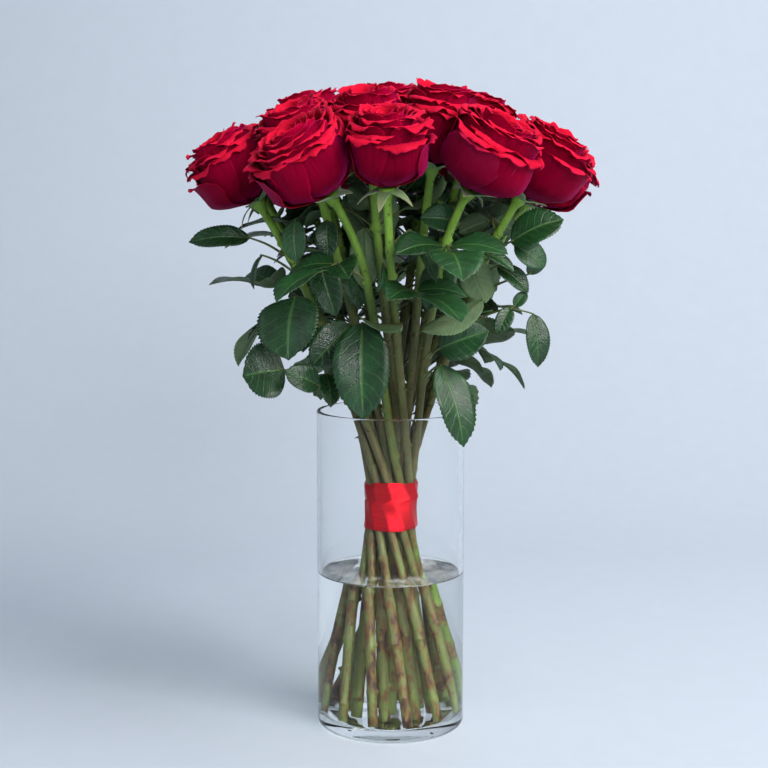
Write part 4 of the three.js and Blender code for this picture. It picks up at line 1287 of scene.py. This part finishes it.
def add_leaflet(skin, leaflet, number, rule, settings):
    """A blade with teeth along its edge that swells between its side veins."""
    draw = seeded_random(SEEDS.edges + SEEDS.step * number)
    along, across = grid_shares(rule.rows, rule.columns)
    middle = np.abs(across)
    half = (1 - np.abs(2 * along ** OUTLINE.widest - 1) ** OUTLINE.full) ** OUTLINE.ends
    half = half * (1 - OUTLINE.drawn_in * smooth(along, OUTLINE.tip, 1))
    half = np.maximum(half, EDGE.least / leaflet.width)
    at_tooth = np.arange(rule.rows)[:, None] % 2
    edge = middle ** EDGE.power
    side = across * half * (1 - np.where(at_tooth, 0.0, settings.teeth) * edge)
    lean = np.where(at_tooth, EDGE.tooth, EDGE.notch) * (half > EDGE.toothless)
    forward = along + (EDGE.forward / rule.rows) * edge * lean
    wave = draw(0.5, 2.0) * np.sin(along * draw(7, 12) + across * draw(0.5, 2) + draw(0, 6)) * middle ** 2
    twist = draw(-1.2, 1.2) * across * half * (along - 0.5)
    slant = VEINS.count * along - VEINS.slant * middle + draw(0, 0.6)
    quilt = settings.quilting / MM * np.cos(2 * math.pi * slant) * -np.sin(math.pi * middle) ** 0.5
    groove = GROOVE.depth * hump(across * half * leaflet.width, 0, GROOVE.width)
    calm = smooth(along, 0, 0.25) * (1 - smooth(along, 0.85, 1.0))
    lift = (wave + twist) * leaflet.width / WAVED_WIDTH * calm + quilt * half + groove
    grid = leaf_point(leaflet, np.clip(forward, 0, 1.0), side, lift)
    thickness = settings.blade / MM * (1 - EDGE.thinner * edge)
    add_sheet(skin, grid, thickness, stacked(across, along, draw(0, 1)), LEAF_BACK, LEAF_FACE)


def bent_path(points, steps):
    """A smooth path through some points."""
    points = np.array(points)
    slopes = np.gradient(points, axis=0)
    path = []
    for i in range(len(points) - 1):
        for step in range(steps):
            path.append(hermite(points[i], slopes[i], points[i + 1], slopes[i + 1], 1.0, step / steps))
    return np.array([*path, points[-1]])


def add_leaf(skin, leaf, number, settings):
    draw = seeded_random(SEEDS.edges - SEEDS.step * number % SEEDS.leaf_span + 1)
    tone = draw(0.1, 0.9)
    rule = FILLING_BLADE if leaf.filling else FRONT_BLADE
    for i, (leaflet, stalk) in enumerate(zip(leaf.leaflets, leaf.stalks)):
        path = bent_path([*stalk, leaflet.base + leaflet.axis * STALK_RADII.into_blade], rule.stalk_steps)
        radii = np.linspace(STALK_RADII.side if i else STALK_RADII.main, STALK_RADII.end, len(path))
        way = unit(path[-1] - path[0])
        reference = (0, 0, 1) if abs(way[2]) < 0.9 else (1, 0, 0)
        add_tube(skin, path, radii, rule.stalk_sides, (0.5, 0.78 - 0.1 * tone, tone), reference)
        if not leaf.filling:
            add_rib(skin, leaflet, tone)
        add_leaflet(skin, leaflet, number * 7 + i, rule, settings)
    add_stipules(skin, leaf, draw)


def add_rib(skin, leaflet, tone):
    """The midrib that stands out under a blade."""
    shares = np.linspace(0, RIB.end, RIB.rings)
    line = np.array([leaf_point(leaflet, along, 0.0) for along in shares]) - leaflet.normal * RIB.below
    radii = np.linspace(*RIB.radii, RIB.rings)
    add_tube(skin, line, radii, RIB.sides, (0.5, 0.72, tone), leaflet.side)


def add_stipules(skin, leaf, draw):
    """Two narrow wings along the foot of the leaf's stalk."""
    root, bend = leaf.stalks[0][:2]
    way = unit(bend - root)
    side = unit(np.cross(way, vec(0, 0, 1)))
    up = np.cross(side, way)
    along, across = grid_shares(STIPULE.rows, STIPULE.columns, 0)
    length, tone = draw(9, 13), draw(0, 1)
    half = STIPULE.half_width * np.sin(math.pi * np.clip(along * 0.85 + 0.1, 0, 1)) + STIPULE.edge
    for hand in (-1, 1):
        grid = laid(root + way * STIPULE.start, (along * length, way),
                    (hand * (STIPULE.gap + half * across), side), (STIPULE.cup * across * along, up))
        add_sheet(skin, grid if hand > 0 else grid[:, ::-1], STIPULE.thickness, stacked(across, along, tone),
                  SEPAL_BACK, SEPAL_BACK)


# Blooms. Each layer from the outside in: how many petals, their half angle, the shares of the bloom's half
# width at the belly and at the top of the wall, the share of its height where the wall ends, the length of
# the lip that rolls out above it, the slope that it ends at, the turn of the layer, and a petal's columns.

LAYER_VALUES = ("count", "half", "belly", "wall", "top", "lip", "slope", "turn", "columns")
LAYERS = [SimpleNamespace(**dict(zip(LAYER_VALUES, row))) for row in (
    (2, 42, 0.925, 0.96, 0.6, 7.5, -75, 18, 19),
    (5, 50, 0.85, 0.85, 0.72, 11, -85, 0, 23),
    (5, 50, 0.79, 0.80, 0.80, 10.5, -70, 36, 23),
    (5, 50, 0.71, 0.72, 0.86, 9.0, -50, 8, 20),
    (5, 52, 0.61, 0.63, 0.905, 7.5, -28, 44, 18),
    (5, 56, 0.50, 0.53, 0.935, 5.8, -6, 14, 15),
    (4, 66, 0.39, 0.42, 0.95, 4.2, 18, 0, 13),
    (4, 72, 0.28, 0.30, 0.95, 3.4, 30, 48, 11),
    (3, 90, 0.18, 0.19, 0.94, 2.6, 42, 20, 9),
    (2, 120, 0.08, 0.09, 0.93, 1.6, 60, 0, 9),
)]
PETAL_ROWS = (0, 0.17, 0.34, 0.5, 0.64, 0.75, 0.82, 0.87, 0.91, 0.945, 0.975, 1)
BOWL = SimpleNamespace(end=0.5, height=0.5)
WALL_END = 0.8
WALL_SLOPE = math.radians(86)
FULL_ROLL = math.radians(215)

# How petals differ: their claws by the layer, and by draws how far the outer layers open, the fall and notch
# of the top line, the curl and crimp of the lip, dents, the thinner edge and the turn out of the even ring.
CLAW = SimpleNamespace(reach=4.4, reach_step=-0.4, height=0.5, height_step=0.8)
OPENING = SimpleNamespace(layers=(1.0, 1.0, 0.75, 0.5, 0.3), bias=1.6, curl=26, reach=5.5, drop=3.2)
TOP_LINE = SimpleNamespace(
    fall=(0.2, 0.3), power=2.6, guard_fall=0.16, guard_power=1.5, notch=0.05, notch_width=0.1,
    waves=((0.018, 13), (0.014, 27)),
)
CURL = SimpleNamespace(waves=((34, 3.3), (20, 8.1)), stray=(-32, 32))
CRIMP = SimpleNamespace(waves=((1, 7.3), (0.6, 15.7)), power=9)
DENT = SimpleNamespace(guard=0.35, petal=0.8, power=0.7)
THINNING = SimpleNamespace(share=0.45, rows=(0.7, 1.0))
STRAY_TURN = SimpleNamespace(guard=45, petal=5)

# How heads that touch are pressed flat: how sharply, and how close they stand before they count as touching.
PRESS = SimpleNamespace(power=8, hardness=6, near=6)


def press_planes(roses, rose):
    """Planes half way to the heads that touch this one."""
    planes = []
    for other in roses:
        way = other.centre - rose.centre
        distance = np.linalg.norm(way)
        if other is not rose and distance <= (rose.width + other.width) / 2 + PRESS.near:
            planes.append((way / distance, distance * rose.width / (rose.width + other.width) - GAP))
    return planes


def press(points, rose, planes):
    """Heads that touch press each other flat, and none reaches the planes between them."""
    away = points - rose.centre
    total = sum(np.maximum(0, away @ way / room) ** PRESS.power for way, room in planes)
    share = total ** (1 / PRESS.power)
    return rose.centre + away / ((1 + share ** PRESS.hardness) ** (1 / PRESS.hardness))[..., None]


def ripples(across, waves, phases):
    """Waves across a petal: each has its depth and pace, and starts at its own phase."""
    return sum(depth * np.sin(pace * across + phase) for (depth, pace), phase in zip(waves, phases))


def petal_rows(across, guard, phases, draw):
    """The shares along a petal, shorter towards its sides, with a notch and an uneven top edge."""
    top_line = 1 - draw(*TOP_LINE.fall) * np.abs(across) ** TOP_LINE.power
    top_line = top_line - TOP_LINE.guard_fall * guard * np.abs(across) ** TOP_LINE.guard_power
    top_line = top_line - TOP_LINE.notch * hump(across, draw(-0.5, 0.5), TOP_LINE.notch_width)
    for (depth, pace), phase in zip(TOP_LINE.waves, phases):
        top_line = top_line + depth * np.sin(pace * across + phase)
    return np.array(PETAL_ROWS)[:, None] * np.minimum(top_line, 1)


def petal_grid(rose, layer, depth, angle, draw, settings):
    """One petal about Z: out from the claw, round the belly, up the wall, and over a crimped lip."""
    across = np.linspace(-1, 1, layer.columns)[None, :]
    phases = [draw(0, 2 * math.pi) for _ in range(7)]
    guard = depth == 0
    along = petal_rows(across, guard, phases, draw)
    tall = rose.tall * (layer.top + draw(-0.06, 0.03) * (1 + 2 * guard))
    claw = CLAW.reach + CLAW.reach_step * depth
    foot = CLAW.height + CLAW.height_step * depth
    belly = rose.width / 2 * layer.belly
    wall = rose.width / 2 * layer.wall * draw(1.0 if guard else 0.92, 1.03)
    bowl_top = BOWL.height * tall

    bend = np.minimum(along / BOWL.end, 1) * math.pi / 2
    rise = np.clip((along - BOWL.end) / (WALL_END - BOWL.end), 0, 1)
    reach = claw + (belly - claw) * np.sin(bend) ** 1.4 + (wall - belly) * rise ** 2
    height = foot + (bowl_top - foot) * (1 - np.cos(bend)) ** 0.8 + (tall - bowl_top) * rise

    openness = OPENING.layers[depth] if depth < len(OPENING.layers) else 0
    opening = draw(0, 1) ** OPENING.bias * openness
    curl = ripples(across, CURL.waves, phases[2:]) - OPENING.curl * opening + draw(*CURL.stray)
    turned = np.minimum(WALL_SLOPE - np.radians(layer.slope + curl), FULL_ROLL)
    now = WALL_SLOPE - turned * np.clip((along - WALL_END) / (1 - WALL_END), 0, 1)
    reach = reach + layer.lip * (math.sin(WALL_SLOPE) - np.sin(now)) / turned
    reach = reach + opening * OPENING.reach * along ** 3
    height = height + layer.lip * (np.cos(now) - math.cos(WALL_SLOPE)) / turned
    height = height - opening * OPENING.drop * along ** 4

    crimp = settings.ruffle / MM * ripples(across, CRIMP.waves, phases[4:]) * along ** CRIMP.power
    dent = np.sin(3.1 * across + phases[6]) + 0.4 * np.sin(7.7 * across + 4 * along + phases[0])
    dent = (DENT.guard if guard else DENT.petal) * dent * np.sin(math.pi * along) ** DENT.power
    lifted = np.abs(across) if guard else across
    lifted = lifted * (0.25 + 0.75 * smooth(along, 0.1, 0.6)) * (1 - 0.07 * depth)
    reach = np.maximum(reach + crimp * np.abs(np.sin(now)) + dent + settings.overlap / MM * lifted, 0.6)
    height = height + crimp * np.abs(np.cos(now))
    spread = layer.half * across * (0.5 + 0.5 * smooth(along, 0.0, 0.75)) + draw(-12, 12) * along
    turn = np.radians(angle + spread)
    tone = draw(0, 1) - guard + TONE_STEP * max(depth - 1, 0)
    return stacked(reach * np.cos(turn), reach * np.sin(turn), height), stacked(across, along, tone)


def bloom_skin(roses, rose, number, settings):
    skin = Skin()
    draw = seeded_random(SEEDS.petals + SEEDS.step * number)
    spin = draw(0, 72)
    planes = press_planes(roses, rose)
    turn = rotation_to(rose.axis)
    origin = rose.base + rose.axis * GAP
    for depth, layer in enumerate(LAYERS):
        stray = STRAY_TURN.petal if depth else STRAY_TURN.guard
        for petal in range(layer.count):
            angle = spin + layer.turn + petal * 360 / layer.count + draw(-stray, stray)
            grid, field = petal_grid(rose, layer, depth, angle, draw, settings)
            grid = press(origin + grid @ turn.T, rose, planes)
            thin = 1 - THINNING.share * smooth(field[..., 1], *THINNING.rows)
            add_sheet(skin, grid, settings.thickness / MM * thin, field, PETAL_FACE, PETAL_BACK)
    return skin


def rotation_to(axis):
    """The smallest turn that takes +Z to an axis."""
    cross = np.cross((0, 0, 1), axis)
    x, y, z = cross
    skew = np.array(((0, -z, y), (z, 0, -x), (-y, x, 0)))
    return np.eye(3) + skew + skew @ skew / (1 + axis[2])


# The stage

SENSOR_WIDTH = 36
SKY = (0.86, 0.92, 1.0, 1)
BACKDROP = SimpleNamespace(half=6.0, front=-9.0, back=1.6, bend=1.0, top=4.0, sink=0.0003)
AIM = (0, 0, 0.35)


def add_backdrop(settings):
    """A floor that curves up into a wall behind, in one sheet."""
    foot = BACKDROP.back - BACKDROP.bend
    line = [(BACKDROP.front, -BACKDROP.sink), (foot, -BACKDROP.sink)]
    for angle in np.linspace(0.1, math.pi / 2, 16):
        rise = BACKDROP.bend * (1 - math.cos(angle)) - BACKDROP.sink
        line.append((foot + BACKDROP.bend * math.sin(angle), rise))
    line.append((BACKDROP.back, BACKDROP.top))
    grid = [(x, y, z) for y, z in line for x in (-BACKDROP.half, BACKDROP.half)]
    faces = [(2 * i, 2 * i + 1, 2 * i + 3, 2 * i + 2) for i in range(len(line) - 1)]
    mesh = bpy.data.meshes.new("backdrop")
    mesh.from_pydata(grid, [], faces)
    mesh.polygons.foreach_set("use_smooth", [True] * len(faces))
    mesh.materials.append(paper_finish(tuple(settings.floor)))
    backdrop = bpy.data.objects.new("backdrop", mesh)
    bpy.context.scene.collection.objects.link(backdrop)


def add_light(name, place, size, power, colour, target=AIM, shine=1.0):
    light = bpy.data.lights.new(name, "AREA")
    light.specular_factor = shine
    light.size = size
    light.energy = power
    light.color = colour
    lamp = bpy.data.objects.new(name, light)
    lamp.location = place
    x, y, z = np.array(target) - np.array(place)
    lamp.rotation_euler = (math.atan2(math.hypot(x, y), -z), 0, math.atan2(y, x) - math.pi / 2)
    bpy.context.scene.collection.objects.link(lamp)


def add_sky(settings):
    world = bpy.data.worlds.new("studio")
    world.use_nodes = True
    sky = world.node_tree.nodes["Background"].inputs
    sky["Color"].default_value = SKY
    sky["Strength"].default_value = settings.sky
    bpy.context.scene.world = world


# Operators, one for each piece or group of like pieces

class ROSES_OT_set_stage(bpy.types.Operator):
    """Sets up the camera, the pale floor that rises into a backdrop, and soft studio light"""

    bl_idname = "roses.set_stage"
    bl_label = "Set Stage"

    def execute(self, context):
        settings = context.scene.rose_vase.stage
        camera = bpy.data.objects.new("camera", bpy.data.cameras.new("camera"))
        camera.location = (settings.side, -settings.distance, settings.height)
        camera.rotation_euler = (math.pi / 2 - settings.tilt, 0, 0)
        camera.data.lens = settings.lens
        camera.data.sensor_width = SENSOR_WIDTH
        context.scene.collection.objects.link(camera)
        context.scene.camera = camera
        context.scene.view_settings.view_transform = "Standard"
        add_backdrop(settings)
        add_light("key", (1.5, -1.25, 1.7), 1.4, settings.key, (1.0, 0.98, 0.95))
        add_light("fill", (-1.7, -0.9, 0.9), 1.2, settings.fill, (0.82, 0.92, 1.0), shine=0.15)
        add_light("front", (0.7, -2.4, 1.1), 0.7, settings.front, (0.97, 0.98, 1.0))
        on_wall = (0.3, BACKDROP.back, 0.7)
        add_light("backdrop_light", (0.7, -0.3, 2.2), 1.0, settings.back, (0.93, 0.96, 1.0), on_wall)
        add_sky(settings)
        return {"FINISHED"}


class ROSES_OT_blow_vase(bpy.types.Operator):
    """Makes the glass cylinder with its rounded lip and thick foot"""

    bl_idname = "roses.blow_vase"
    bl_label = "Blow Vase"

    def execute(self, context):
        settings = context.scene.rose_vase.vase
        glass = clear_finish("vase_glass", GLASS_IOR, tuple(settings.tint), RELIEF.glass)
        dress(vase_skin(settings).make("glass_vase", [glass]), "clear_glass", "vase")
        return {"FINISHED"}


class ROSES_OT_pour_water(bpy.types.Operator):
    """Fills the vase to its level, with a meniscus at the glass"""

    bl_idname = "roses.pour_water"
    bl_label = "Pour Water"

    def execute(self, context):
        settings = context.scene.rose_vase.vase
        # The water's surface gets a second finish with painted glints.
        materials = [clear_finish("vase_water", WATER_IOR, WATER_TINT, RELIEF.water),
                     clear_finish("vase_water_surface", WATER_IOR, WATER_TINT, RELIEF.surface, PAINTED_SURFACE_GLINTS)]
        water = dress(water_skin(settings).make("water_body", materials), "clear_water", "water")
        for face in water.data.polygons:
            if face.center.z > (WATER_LEVEL - GAP) * MM and face.normal.z > 0:
                face.material_index = 1
        return {"FINISHED"}


class ROSES_OT_grow_stems(bpy.types.Operator):
    """Grows each stem with its nodes, thorns, sepals and leaves"""

    bl_idname = "roses.grow_stems"
    bl_label = "Grow Stems"

    def execute(self, context):
        settings = context.scene.rose_vase.stems
        face = leaf_finish("rose_leaf_face", tuple(settings.leaf_dark), tuple(settings.leaf_light),
                           tuple(settings.leaf_vein), roughness=0.33, net_depth=RELIEF.leaf_face, gloss=0.42)
        back = leaf_finish("rose_leaf_back", tuple(settings.under_dark), tuple(settings.under_light),
                           tuple(settings.under_vein), roughness=0.66, net_depth=RELIEF.leaf_back, gloss=0.25)
        inside = sepal_finish("rose_sepal_inside", SEPAL_INSIDE)
        outside = sepal_finish("rose_sepal_outside", SEPAL_OUTSIDE)
        materials = [bark_finish(), inside, outside, face, back]
        roses = lay_roses()
        leaves = lay_leaves(roses)
        for number, rose in enumerate(roses, 1):
            own = [(i, leaf) for i, leaf in enumerate(leaves) if leaf.rose is rose]
            skin = Skin()
            add_stem(skin, rose, [leaf for _, leaf in own], number, settings)
            add_sepals(skin, rose, number)
            for i, leaf in own:
                add_leaf(skin, leaf, i + 1, settings)
            dress(skin.make(f"leafy_stem_{number:02d}", materials), "leaf_green", f"stem_{number:02d}")
        return {"FINISHED"}


class ROSES_OT_open_blooms(bpy.types.Operator):
    """Opens a bloom of layered petals on each stem"""

    bl_idname = "roses.open_blooms"
    bl_label = "Open Blooms"

    def execute(self, context):
        settings = context.scene.rose_vase.blooms
        edge = tuple(settings.edge)
        # The painted heart light brightens the inner layers, the backs more than the faces.
        face = petal_finish("petal_face", tuple(settings.face_deep), tuple(settings.face), edge,
                            sheen=0.12, painted_heart_light=1.0)
        back = petal_finish("petal_back", tuple(settings.back_deep), tuple(settings.back), edge,
                            sheen=0.3, painted_heart_light=1.7)
        roses = lay_roses()
        for number, rose in enumerate(roses, 1):
            skin = bloom_skin(roses, rose, number, settings)
            dress(skin.make(f"rose_bloom_{number:02d}", [face, back]), "petal_red", f"bloom_{number:02d}")
        return {"FINISHED"}


class ROSES_OT_bind_ribbon(bpy.types.Operator):
    """Winds the satin ribbon round the waist of the bundle"""

    bl_idname = "roses.bind_ribbon"
    bl_label = "Bind Ribbon"

    def execute(self, context):
        settings = context.scene.rose_vase.ribbon
        skin, length = ribbon_skin(lay_roses(), settings)
        ribbon = dress(skin.make("satin_ribbon", [satin_finish(settings)]), "red_satin", "ribbon")
        return {"FINISHED"}


class ROSES_PT_panel(bpy.types.Panel):
    """Lists the steps in the order that they run in"""

    bl_label = "Roses in a Vase"
    bl_idname = "ROSES_PT_panel"
    bl_space_type = "VIEW_3D"
    bl_region_type = "UI"
    bl_category = "Roses"

    def draw(self, context):
        settings = context.scene.rose_vase
        for operator, group in STEPS:
            self.layout.operator(operator.bl_idname)
            values = getattr(settings, group)
            for key in values.__annotations__:
                self.layout.prop(values, key)


STEPS = [
    (ROSES_OT_set_stage, "stage"),
    (ROSES_OT_blow_vase, "vase"),
    (ROSES_OT_pour_water, "vase"),
    (ROSES_OT_grow_stems, "stems"),
    (ROSES_OT_open_blooms, "blooms"),
    (ROSES_OT_bind_ribbon, "ribbon"),
]
CLASSES = [
    VaseSettings, RibbonSettings, StemSettings, BloomSettings, StageSettings, RoseVaseSettings,
    *[operator for operator, _ in STEPS], ROSES_PT_panel,
]


def register():
    for cls in CLASSES:
        bpy.utils.register_class(cls)
    bpy.types.Scene.rose_vase = PointerProperty(type=RoseVaseSettings)


def unregister():
    del bpy.types.Scene.rose_vase
    for cls in reversed(CLASSES):
        bpy.utils.unregister_class(cls)


def main():
    register()
    for operator, _ in STEPS:
        family, name = operator.bl_idname.split(".")
        getattr(getattr(bpy.ops, family), name)()
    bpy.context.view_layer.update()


if __name__ == "__main__":
    main()
